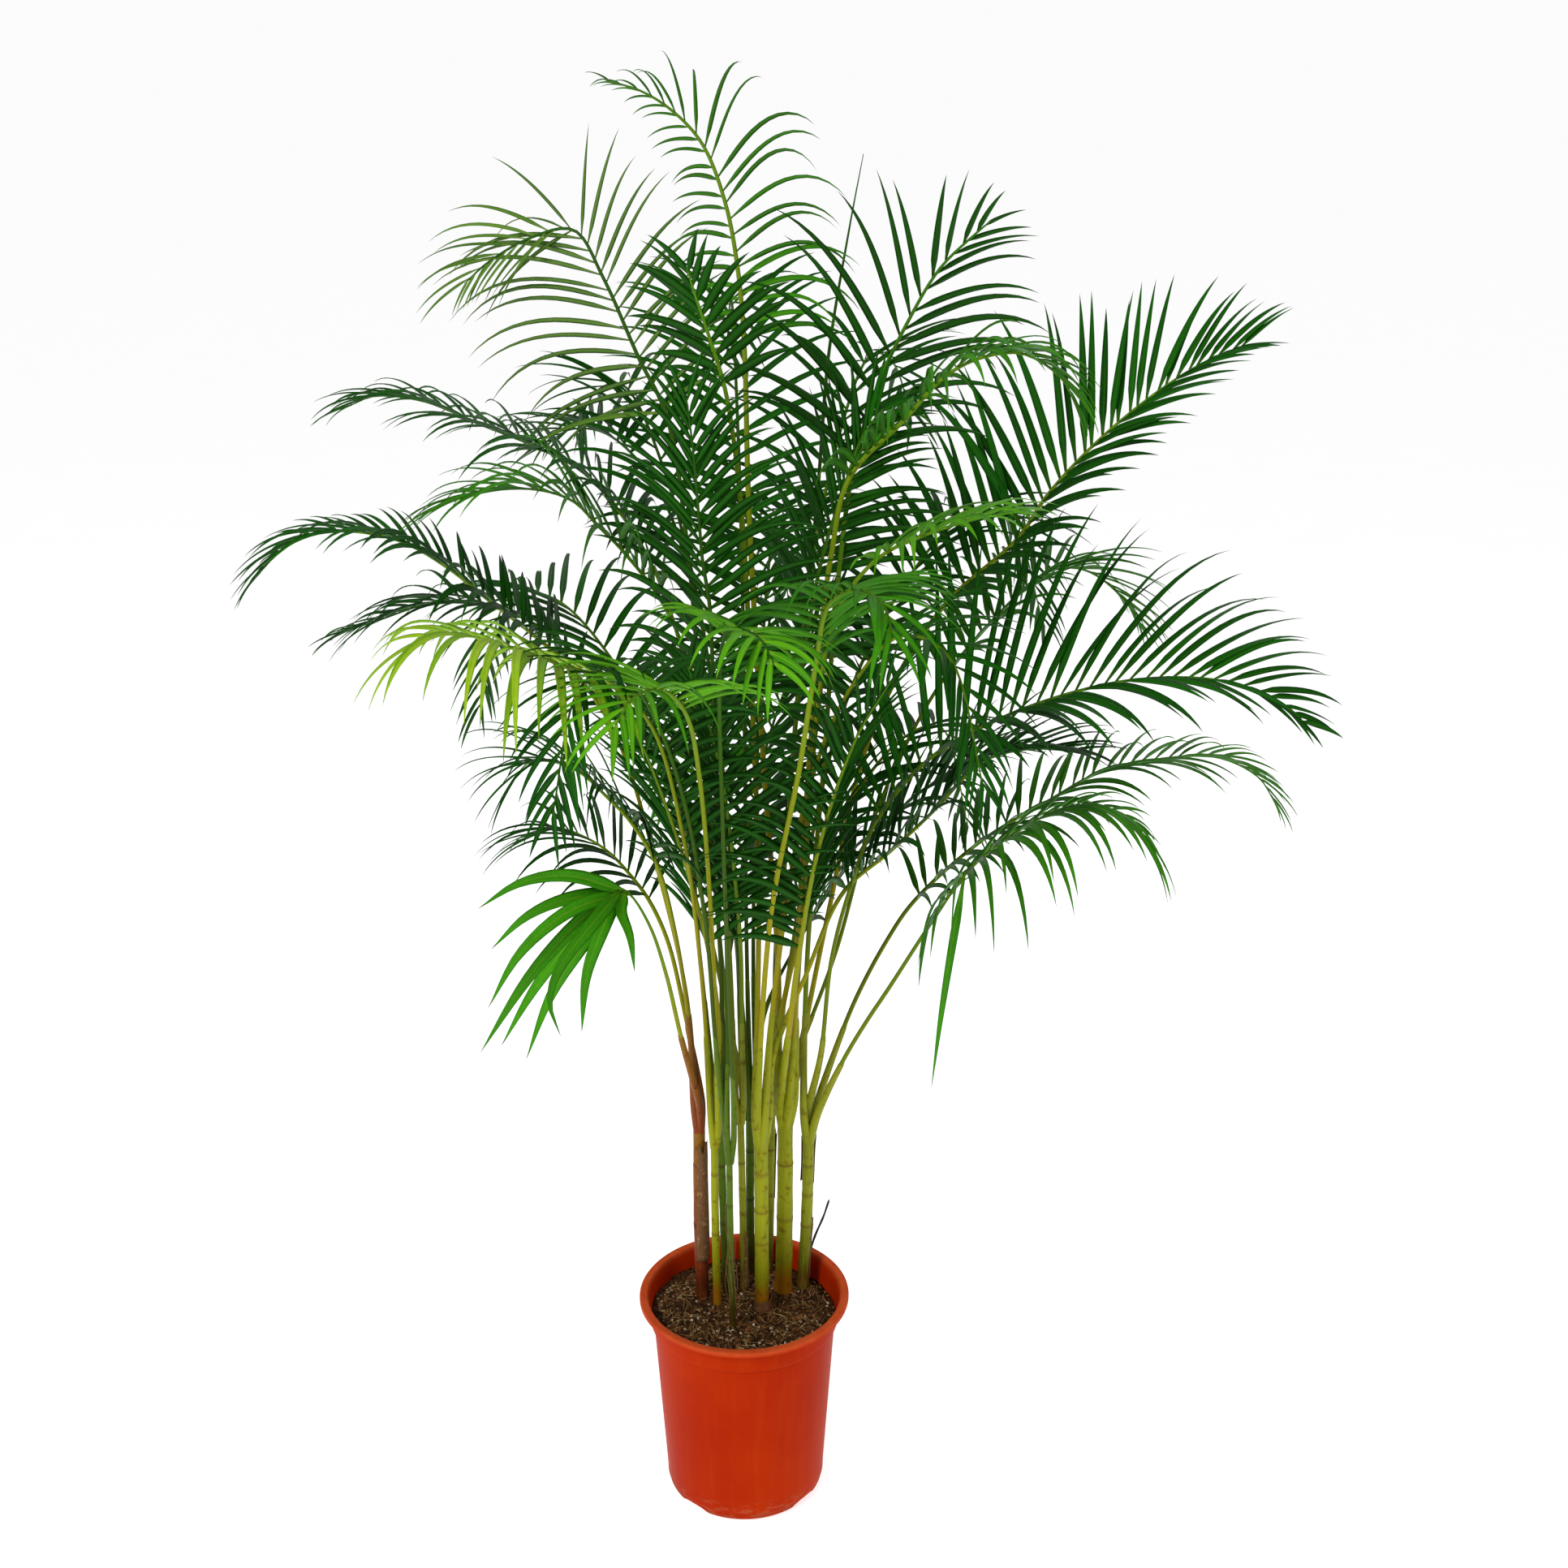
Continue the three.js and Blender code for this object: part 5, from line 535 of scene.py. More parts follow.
def pot_material():
    n = Nodes("orange_pot_plastic", 0.46, 0.02)
    c = n.coord()
    xyz = n.node("ShaderNodeSeparateXYZ")
    n.link(c, xyz.inputs[0])
    z = xyz.outputs[2]
    cloud = n.noise(c, 9.0, 3.0)
    base = n.mix(n.remap(cloud, 0.3, 0.7), srgb(170, 35, 1), srgb(184, 48, 2))
    # faint drawn streaks down the wall
    streak = n.noise(n.scaled(c, (60, 60, 3)), 1.6, 4.0)
    base = n.mix(n.remap(streak, 0.5, 0.78, 0.0, 0.25), base, srgb(194, 68, 10))
    # chalky bloom and a painted highlight on the rim, and dust and scuffs on the foot
    mottle_noise = n.noise(c, 55.0, 6.0, 0.7)
    # painted highlight: the lip is made lighter towards its top by height, and the noise mottles it as real chalky
    # bloom
    rim_bloom_and_highlight = n.math("MULTIPLY", n.remap(z, 0.2405, 0.2470, 0.0, 1.0, True), n.remap(mottle_noise, 0.3, 0.7, 0.35, 0.8))
    base = n.mix(n.math("MULTIPLY", rim_bloom_and_highlight, 0.7), base, srgb(226, 108, 58))
    wear = n.noise(n.scaled(c, (1, 1, 3.2)), 60.0, 5.0, 0.7)
    foot = n.math("MULTIPLY", n.remap(z, 0.034, 0.010, 0.0, 1.0, True), n.remap(wear, 0.47, 0.68))
    base = n.mix(n.math("MULTIPLY", foot, 0.62), base, srgb(180, 112, 82))
    # darker towards the very bottom of the foot, mottled by noise
    base_darkening = n.math("MULTIPLY", n.remap(z, 0.016, 0.001, 0.0, 1.0, True), n.remap(mottle_noise, 0.38, 0.62))
    base = n.mix(n.math("MULTIPLY", base_darkening, 0.5), base, srgb(88, 34, 16))
    speck = n.noise(c, 520.0, 2.0)
    base = n.mix(n.remap(speck, 0.7, 0.78, 0.0, 0.3), base, srgb(120, 34, 10))
    # scratches round the wall
    scr = n.noise(n.scaled(c, (6, 6, 420)), 1.0, 2.0)
    n.bump(n.math("ADD", n.math("MULTIPLY", scr, 0.5), n.math("MULTIPLY", mottle_noise, 0.5)), 0.12, 0.0004)
    return n.done(base, n.math("ADD", n.remap(cloud, 0.3, 0.7, 0.34, 0.46), n.math("MULTIPLY", foot, 0.3)))


# ---------------------------------------------------------------- pot
def lathe_object(name, profile, sides, material):
    """Turns an open profile round the Z axis and closes it with a disc at each end."""
    verts, faces, uvs = [], [], []
    n = len(profile)
    for i in range(sides):
        a = 2 * math.pi * i / sides
        for r, z in profile:
            verts.append((r * math.cos(a), r * math.sin(a), z))
    for i in range(sides):
        j = (i + 1) % sides
        for k in range(n - 1):
            faces.append([i * n + k, i * n + k + 1, j * n + k + 1, j * n + k])
            uvs.append([(i / sides, k / n), (i / sides, (k + 1) / n), ((i + 1) / sides, (k + 1) / n), ((i + 1) / sides, k / n)])
    faces.append([i * n for i in range(sides)])
    uvs.append([(0.0, 0.0)] * sides)
    faces.append([i * n + n - 1 for i in reversed(range(sides))])
    uvs.append([(0.0, 1.0)] * sides)
    b = Build()
    b.add(verts, faces, uvs, 0.5)
    return b.make(name, material, True)


def rounded(profile, radius_at):
    """Rounds the corners named in radius_at {index: radius} of an open profile."""
    out = []
    for i, p in enumerate(profile):
        r = radius_at.get(i)
        if r is None or i in (0, len(profile) - 1):
            out.append(p)
            continue
        a, b, c = (np.array(profile[i - 1], float), np.array(p, float), np.array(profile[i + 1], float))
        da, dc = a - b, c - b
        la, lc = np.linalg.norm(da), np.linalg.norm(dc)
        r = min(r, la * 0.48, lc * 0.48)
        pa, pc = b + da / la * r, b + dc / lc * r
        for t in (0, 0.25, 0.5, 0.75, 1):
            q = (1 - t) ** 2 * pa + 2 * t * (1 - t) * b + t * t * pc
            out.append((float(q[0]), float(q[1])))
    return out


def pot():
    body = lambda z: 91.6 + (104.2 - 91.6) * (z - 16) / (212 - 16)
    outer = [
        (2.0, 0.0), (38.0, 0.0), (42.0, 8.0), (78.0, 8.0), (80.0, 0.0), (85.6, 0.0), (90.2, 4.6), (90.7, 9.2), (91.2, 9.6), (91.0, 10.6), (91.7, 11.6),
        (91.9, 20.0), (body(30), 30), (body(60), 60), (body(90), 90), (body(120), 120), (body(150), 150), (body(180), 180), (body(200), 200),
        (104.2, 210.0), (104.1, 212.4), (107.6, 214.0), (108.2, 222.0), (109.0, 236.5), (109.3, 240.6),
        (118.6, 240.8), (120.0, 241.6), (120.0, 246.4), (118.2, 247.8), (112.0, 247.6), (110.5, 246.0),
        (108.2, 240.0), (106.6, 235.0), (105.2, 215.0), (102.0, 209.0), (body(150) - 2.2, 150), (body(60) - 2.2, 60), (89.4, 16.0), (85.4, 10.6), (44.5, 10.6), (40.5, 2.6), (2.0, 2.6),
    ]
    prof = rounded(outer, {5: 3.0, 6: 3.0, 11: 1.0, 20: 0.8, 21: 1.6, 24: 1.0, 25: 0.9, 26: 1.8, 27: 2.2, 28: 2.6, 29: 1.4, 30: 1.6, 33: 3, 34: 4, 2: 1.5, 3: 1.5})
    o = lathe_object("pot_shell", prof, 192, pot_material())
    bm = bmesh.new()
    bm.from_mesh(o.data)
    bmesh.ops.recalc_face_normals(bm, faces=bm.faces)
    bm.to_mesh(o.data)
    bm.free()
    # arches between the feet and the drain holes, cut out of the wall
    cut = bmesh.new()
    for i in range(4):
        a = math.radians(-90 - 40 + 90 * i)
        segs = 24
        rings = []
        for y in (72, 108):
            row = []
            for k in range(segs + 1):
                t = math.pi * k / segs
                x, z = 20.0 * math.cos(t), 9.2 * math.sin(t) ** 0.8
                row.append(cut.verts.new(Vector((x * math.sin(a) * -1 + y * math.cos(a), x * math.cos(a) + y * math.sin(a), z - 0.0)) * MM))
            row.append(cut.verts.new(Vector((-20.0 * -math.sin(a) + y * math.cos(a), -20.0 * math.cos(a) + y * math.sin(a), -3)) * MM))
            row.append(cut.verts.new(Vector((20.0 * -math.sin(a) + y * math.cos(a), 20.0 * math.cos(a) + y * math.sin(a), -3)) * MM))
            rings.append(row)
        m = len(rings[0])
        for k in range(m):
            cut.faces.new((rings[0][k], rings[0][(k + 1) % m], rings[1][(k + 1) % m], rings[1][k]))
        cut.faces.new(list(reversed(rings[0])))
        cut.faces.new(rings[1])
    for i in range(6):
        a = i * math.pi / 3
        r = bmesh.ops.create_cone(cut, cap_ends=True, segments=24, radius1=0.005, radius2=0.005, depth=0.014)
        for v in r["verts"]:
            v.co += Vector((0.061 * math.cos(a), 0.061 * math.sin(a), 0.0093))
    bmesh.ops.recalc_face_normals(cut, faces=cut.faces)
    me = bpy.data.meshes.new("cutter")
    cut.to_mesh(me)
    cut.free()
    c = bpy.data.objects.new("cutter", me)
    bpy.context.scene.collection.objects.link(c)
    mod = o.modifiers.new("cut", "BOOLEAN")
    mod.operation, mod.solver, mod.object = "DIFFERENCE", "EXACT", c
    dg = bpy.context.evaluated_depsgraph_get()
    done = bpy.data.meshes.new_from_object(o.evaluated_get(dg))
    o.modifiers.clear()
    mats = list(o.data.materials)
    o.data = done
    if not done.materials:
        done.materials.append(mats[0])
    bpy.data.objects.remove(c)
    done.polygons.foreach_set("use_smooth", [True] * len(done.polygons))
    done.set_sharp_from_angle(angle=math.radians(38))
    return place(o, "pot_plastic", "pot")


# ---------------------------------------------------------------- soil
def soil_height(x, y):
    r = math.hypot(x, y) / 103
    return 222 + 2.5 - 0.045 * x - 0.01 * y + 2.2 * math.sin(x / 17 + 1) * math.cos(y / 14) - 2.5 * r * r


def lump(x, y):
    s = 0.0
    for i, (f, a) in enumerate(((0.09, 1.6), (0.19, 1.2), (0.42, 0.8), (0.8, 0.5))):
        s += a * math.sin(x * f + 3.1 * i + 1.7 * math.sin(y * f * 0.8 + i)) * math.cos(y * f * 1.1 + 2.3 * i)
    return s


def soil():
    R0 = 105.0
    rings, sides = 60, 150
    verts = [(0, 0, soil_height(0, 0) + lump(0, 0))]
    for i in range(1, rings + 1):
        r = R0 * i / rings
        for k in range(sides):
            a = 2 * math.pi * (k + 0.5 * (i % 2)) / sides
            x, y = r * math.cos(a), r * math.sin(a)
            h = soil_height(x, y) + lump(x, y) + (rnd(i, k) - 0.5) * 1.3
            verts.append((x, y, min(h, 239.0)))
    faces = [[0, 1 + k, 1 + (k + 1) % sides] for k in range(sides)]
    at = lambda i, k: 1 + (i - 1) * sides + k % sides
    for i in range(1, rings):
        for k in range(sides):
            faces.append([at(i, k), at(i + 1, k), at(i + 1, k + 1), at(i, k + 1)])
    base = len(verts)
    levels = [(101.6, 209.0), (91.2, 60.0), (88.6, 18.0), (84.6, 11.4), (44.0, 11.4), (40.0, 3.4)]
    for r, z in levels:
        for k in range(sides):
            a = 2 * math.pi * (k + 0.5 * (rings % 2)) / sides
            verts.append((r * math.cos(a), r * math.sin(a), z))
    prev = [at(rings, k) for k in range(sides)]
    for j in range(len(levels)):
        row = [base + j * sides + k for k in range(sides)]
        for k in range(sides):
            faces.append([prev[k], row[k], row[(k + 1) % sides], prev[(k + 1) % sides]])
        prev = row
    faces.append(list(reversed(prev)))
    b = Build()
    b.add(verts, faces, [[(0.0, 0.0)] * len(f) for f in faces], 0.5)
    o = b.make("soil_bed", soil_material(), True)
    return place(o, "potting_soil", "soil")


def chip(build, x, y, z, size, seed, flat=0.45, tone=0.5):
    """A small angular lump with eight corners pushed about."""
    a, b2, c = (2 * math.pi * rnd(seed, 1), (rnd(seed, 2) - 0.5) * 1.0, (rnd(seed, 3) - 0.5) * 1.0)
    ex = size * np.array([1.0, 0.55 + 0.5 * rnd(seed, 4), flat])
    pts = []
    for i, (sx, sy, sz) in enumerate([(-1, -1, -1), (1, -1, -1), (1, 1, -1), (-1, 1, -1), (-1, -1, 1), (1, -1, 1), (1, 1, 1), (-1, 1, 1)]):
        j = 0.75 + 0.45 * rnd(seed + 0.37 * i, 5)
        p = np.array([sx, sy, sz]) * ex * j * (0.7 if sz > 0 else 1.0)
        ca, sa = math.cos(a), math.sin(a)
        p = np.array([p[0] * ca - p[1] * sa, p[0] * sa + p[1] * ca, p[2] + p[0] * b2 * 0.5 + p[1] * c * 0.5])
        pts.append(p + np.array([x, y, z]))
    faces = [[0, 3, 2, 1], [4, 5, 6, 7], [0, 1, 5, 4], [1, 2, 6, 5], [2, 3, 7, 6], [3, 0, 4, 7]]
    build.add(pts, faces, [[(0.0, 0.0), (1.0, 0.0), (1.0, 1.0), (0.0, 1.0)]] * 6, tone)


def soil_bits():
    bark, pale, fibre = Build(), Build(), Build()
    seeds = 0
    for i in range(1500):
        seeds += 1
        r = 102 * math.sqrt(rnd(i, 11))
        a = 2 * math.pi * rnd(i, 12)
        x, y = r * math.cos(a), r * math.sin(a)
        if r > 99:
            continue
        z = soil_height(x, y) + lump(x, y) + 0.35
        kind = rnd(i, 13)
        if kind < 0.58:
            chip(bark, x, y, z, 1.2 + 2.8 * rnd(i, 14) ** 2, i, 0.35, rnd(i, 15))
        elif kind < 0.72:
            chip(pale, x, y, z + 0.2, 0.7 + 1.1 * rnd(i, 14), i, 0.75, rnd(i, 15))
        else:
            L = 5 + 14 * rnd(i, 16)
            d = 2 * math.pi * rnd(i, 17)
            pts = []
            for k in range(6):
                t = k / 5 - 0.5
                px = x + L * t * math.cos(d) + 2 * math.sin(3 * t + i) * math.sin(d)
                py = y + L * t * math.sin(d) + 2 * math.cos(4 * t + i)
                pts.append((px, py, soil_height(px, py) + lump(px, py) + 0.8 + 0.8 * math.cos(t * 5)))
            if max(math.hypot(p[0], p[1]) for p in pts) < 99:
                tube(fibre, pts, [0.28] * 6, (0, 0.1, 1), 5, rnd(i, 18))
    place(bark.make("bark_chips", bit_material("bark_chip", (40, 22, 12), (100, 62, 32), (140, 98, 56)), False), "potting_soil", "soil")
    place(pale.make("pale_grit", bit_material("pale_grit", (150, 130, 100), (212, 200, 176), (120, 98, 72)), False), "potting_soil", "soil")
    place(fibre.make("soil_fibres", bit_material("dry_fibre", (150, 112, 66), (196, 164, 112), (110, 78, 46))), "potting_soil", "soil")


# ---------------------------------------------------------------- canes
def canes():
    for ci, c in enumerate(CANES):
        foot, top = np.array(c["foot"], float), np.array(c["top"], float)
        d = unit(top - foot)
        start = foot - d * 22
        side = unit(np.cross(d, [0.3, 1, 0.1]))
        other = np.cross(d, side)
        total = float(np.linalg.norm(top - start))
        length = total - 0.5
        n = 90
        centre, radii, tones = [], [], []
        rings = [0.30 + 0.62 * (k + 0.35 + 0.3 * rnd(ci, k)) / c["rings"] for k in range(c["rings"])]
        for i in range(n):
            t = i / (n - 1)
            s = t * length
            bow = math.sin(math.pi * min(1.0, max(0.0, (s - 22) / (length - 22)))) * (rnd(ci, 3) - 0.5) * 3.0
            p = start + d * s + side * bow
            h = max(0.0, (s - 22) / (length - 22))
            r = c["r0"] + (c["r1"] - c["r0"]) * h
            r *= 1 + 0.10 * math.exp(-(((s - 24) / 9) ** 2)) + 0.02 * math.sin(s / 9 + ci)
            tone = 0.0
            for q in rings:
                e = (h - q) * length
                r *= 1 + 0.055 * math.exp(-((e / 2.2) ** 2)) - 0.02 * math.exp(-(((e - 5) / 3) ** 2))
                tone = max(tone, math.exp(-((e / 1.8) ** 2)) * 0.85)
            if length - s < 9:
                r *= 1 - 0.45 * (1 - (length - s) / 9) ** 2.2
            centre.append(p)
            radii.append(r)
            tones.append(tone)
        b = Build()
        sides = 22
        tube(b, centre, radii, other, sides, 0.0)
        b.tone = [tones[i] for i in range(n) for _ in range(sides)]
        place(b.make(c["name"] + "_stem", CANE[c["tone"]], True, math.radians(60)), "cane_skin", c["name"])
        crown(ci, c, start, d, other, length)
        # remains of dry sheath wrapped round the stem
        if c.get("wrap"):
            for wi, (h0, h1, a0, a1, flare) in enumerate(c["wrap"]):
                wrap_sheath(c, ci * 10 + wi, start, d, side, other, length, h0, h1, a0, a1, flare)


def crown(ci, c, start, d, other, length):
    """The green leaf bases that run up from the head of a stem, one round each stalk."""
    owners = [f for f in FRONDS if f["stalk_of"] == c["name"]]
    b = Build()
    for k, f in enumerate(owners):
        C, _ = spline(f["points"], 16)
        s = lengths(C)
        m = int(np.searchsorted(s, 120 + 60 * rnd(ci, k)))
        Q = resample(C[: max(6, m)], 26)
        end = start + d * (length - 16)
        pts, radii = [], []
        for i in range(26):
            t = i / 25
            w = max(0.0, 1 - t / 0.22)
            pts.append(Q[i] * (1 - 0.55 * w * w) + (end + d * 22 * t) * 0.55 * w * w)
            radii.append((f["radius"] * 1.25 + (c["r1"] * 0.30) * (1 - t) ** 1.2) * (1.0 if i < 25 else 0.8))
        tube(b, pts, radii, other, 12, 0.03, 1.0, 0.0, 0.55, 0.98)
    if owners:
        place(b.make(c["name"] + "_leaf_bases", CANE[c["tone"]], True, math.radians(60)), "cane_skin", c["name"])


def wrap_sheath(c, seed, start, d, side, other, length, h0, h1, a0, a1, flare):
    """A thin papery strip round part of the stem, loose at its ragged upper edge."""
    b = Build()
    rows, cols, thick = 26, 14, 0.35
    grid = []
    for i in range(rows):
        t = i / (rows - 1)
        for j in range(cols):
            u = j / (cols - 1)
            ragged = 1 - 0.16 * rnd(seed, j * 1.7) * t
            s = length * (h0 + (h1 - h0) * t * ragged)
            hh = max(0.0, (s - 22) / (length - 22))
            r = (c["r0"] + (c["r1"] - c["r0"]) * hh) * 1.1 + 0.9 + flare * t ** 3 * (0.5 + rnd(seed, j)) + 0.25 * math.sin(9 * u + seed + 5 * t)
            a = a0 + (a1 - a0) * (u * (1 - 0.22 * t) + 0.11 * t)
            grid.append((s, r, a))
    def point(s, r, a):
        return start + d * s + side * math.cos(a) * r + other * math.sin(a) * r
    verts = [point(*g) for g in grid] + [point(s, r - thick, a) for s, r, a in grid]
    faces, uvs = [], []
    m = rows * cols
    def quad(a, b_, c_, d_):
        faces.append([a, b_, c_, d_])
        uvs.append([((q % m) % cols / cols, (q % m) // cols / rows) for q in (a, b_, c_, d_)])
    for i in range(rows - 1):
        for j in range(cols - 1):
            p = i * cols + j
            quad(p, p + 1, p + cols + 1, p + cols)
            quad(m + p, m + p + cols, m + p + cols + 1, m + p + 1)
    for j in range(cols - 1):
        quad(j + 1, j, m + j, m + j + 1)
        p = (rows - 1) * cols + j
        quad(p, p + 1, m + p + 1, m + p)
    for i in range(rows - 1):
        p = i * cols
        quad(p, p + cols, m + p + cols, m + p)
        p = i * cols + cols - 1
        quad(p + cols, p, m + p, m + p + cols)
    b.add(verts, faces, uvs, 0.5)
    o = b.make("%s_dry_sheath_%d" % (c["name"], seed % 10), PAPERY)
    bm = bmesh.new()
    bm.from_mesh(o.data)
    bmesh.ops.recalc_face_normals(bm, faces=bm.faces)
    bm.to_mesh(o.data)
    bm.free()
    place(o, "cane_skin", c["name"])


def dry_strands():
    """Hair-like dry fibres hanging on the thin cane at the front."""
    c = [q for q in CANES if q["name"] == "cane_4"][0]
    foot, top = np.array(c["foot"], float), np.array(c["top"], float)
    b = Build()
    for i in range(9):
        a = 2 * math.pi * rnd(i, 3)
        h0 = 0.02 + 0.25 * rnd(i, 5)
        h1 = h0 + 0.25 + 0.4 * rnd(i, 6)
        pts = []
        for k in range(12):
            t = k / 11
            p = foot + (top - foot) * (h0 + (h1 - h0) * t)
            off = 4.6 + 3.0 * math.sin(math.pi * t) * rnd(i, 7) + 1.2 * math.sin(7 * t + i)
            aa = a + 0.7 * math.sin(3 * t + i)
            pts.append(p + np.array([math.cos(aa), math.sin(aa), 0]) * off)
        tube(b, pts, [0.55 * (1 - 0.5 * k / 11) for k in range(12)], (1, 0.2, 0), 6, rnd(i, 9))
    place(b.make("cane_4_dry_strands", PAPERY), "cane_skin", "cane_4")


def stick():
    a, b2 = np.array(STICK[0], float), np.array(STICK[1], float)
    b = Build()
    n = 40
    side = unit(np.cross(b2 - a, [0, 1, 0.2]))
    c = [a + (b2 - a) * (0.12 + 0.88 * i / (n - 1)) + side * 0.5 * math.sin(i * 0.35) for i in range(n)]
    r = [1.62 - 0.35 * i / (n - 1) + 0.12 * math.sin(i * 0.9) - (0.5 if i == n - 1 else 0) for i in range(n)]
    tube(b, c, r, (1, 0.1, 0), 12, 0.4)
    place(b.make("dry_stick_twig", DRY), "dry_wood", "dry_stick")


# ---------------------------------------------------------------- fronds
def side_of(f):
    if f["side"]:
        return unit(np.array(f["side"], float))
    a, b = f["points"][f["leafStart"]], f["points"][-1]
    h = unit(np.array([b[0] - a[0], b[1] - a[1], 0.0]))
    return np.array([-h[1], h[0], 0.0])


STATIONS = 12


def leaflet(build, q, normal, width, tone, twist):
    """One closed, keeled, lance-shaped leaflet along the curve q."""
    n = len(q)
    rows = []
    up = normal
    for i in range(n - 1):
        t = i / (n - 1)
        tan = unit(q[min(n - 1, i + 1)] - q[max(0, i - 1)])
        up = unit(up - tan * np.dot(up, tan))
        sd = np.cross(tan, up)
        ca, sa = math.cos(twist * t), math.sin(twist * t)
        s2, u2 = sd * ca + up * sa, up * ca - sd * sa
        if t < 0.2:
            k = t / 0.2
            w = 0.30 + 0.70 * k * k * (3 - 2 * k)
        else:
            w = max(0.02, 1 - ((t - 0.2) / 0.8) ** 1.9)
        w *= width / 2
        keel = w * (0.5 - 0.25 * t)
        rows += [
            q[i] - s2 * w + u2 * keel,
            q[i] - s2 * w * 0.5 + u2 * keel * 0.56,
            q[i],
            q[i] + s2 * w * 0.5 + u2 * keel * 0.56,
            q[i] + s2 * w + u2 * keel,
            q[i] - u2 * (0.25 + 0.4 * (1 - t)),
        ]
    verts = rows + [q[-1]]
    faces, uvs = [], []
    U = (0.0, 0.25, 0.5, 0.75, 1.0)
    for i in range(n - 2):
        a, b = i * 6, (i + 1) * 6
        va, vb = i / (n - 1), (i + 1) / (n - 1)
        for k in range(4):
            faces.append([a + k, a + k + 1, b + k + 1, b + k])
            uvs.append([(U[k], va), (U[k + 1], va), (U[k + 1], vb), (U[k], vb)])
        faces.append([a + 4, a + 5, b + 5, b + 4])
        uvs.append([(1.12, va), (1.5, va), (1.5, vb), (1.12, vb)])
        faces.append([a + 5, a, b, b + 5])
        uvs.append([(1.5, va), (1.88, va), (1.88, vb), (1.5, vb)])
    a, tip, va = (n - 2) * 6, len(verts) - 1, (n - 2) / (n - 1)
    for k in range(4):
        faces.append([a + k, a + k + 1, tip])
        uvs.append([(U[k], va), (U[k + 1], va), (0.5, 1.0)])
    faces.append([a + 4, a + 5, tip])
    uvs.append([(1.12, va), (1.5, va), (1.5, 1.0)])
    faces.append([a + 5, a, tip])
    uvs.append([(1.5, va), (1.88, va), (1.5, 1.0)])
    faces.append([5, 4, 3, 2, 1, 0])
    uvs.append([(1.5, 0.0)] * 6)
    build.add(verts, faces, uvs, tone)


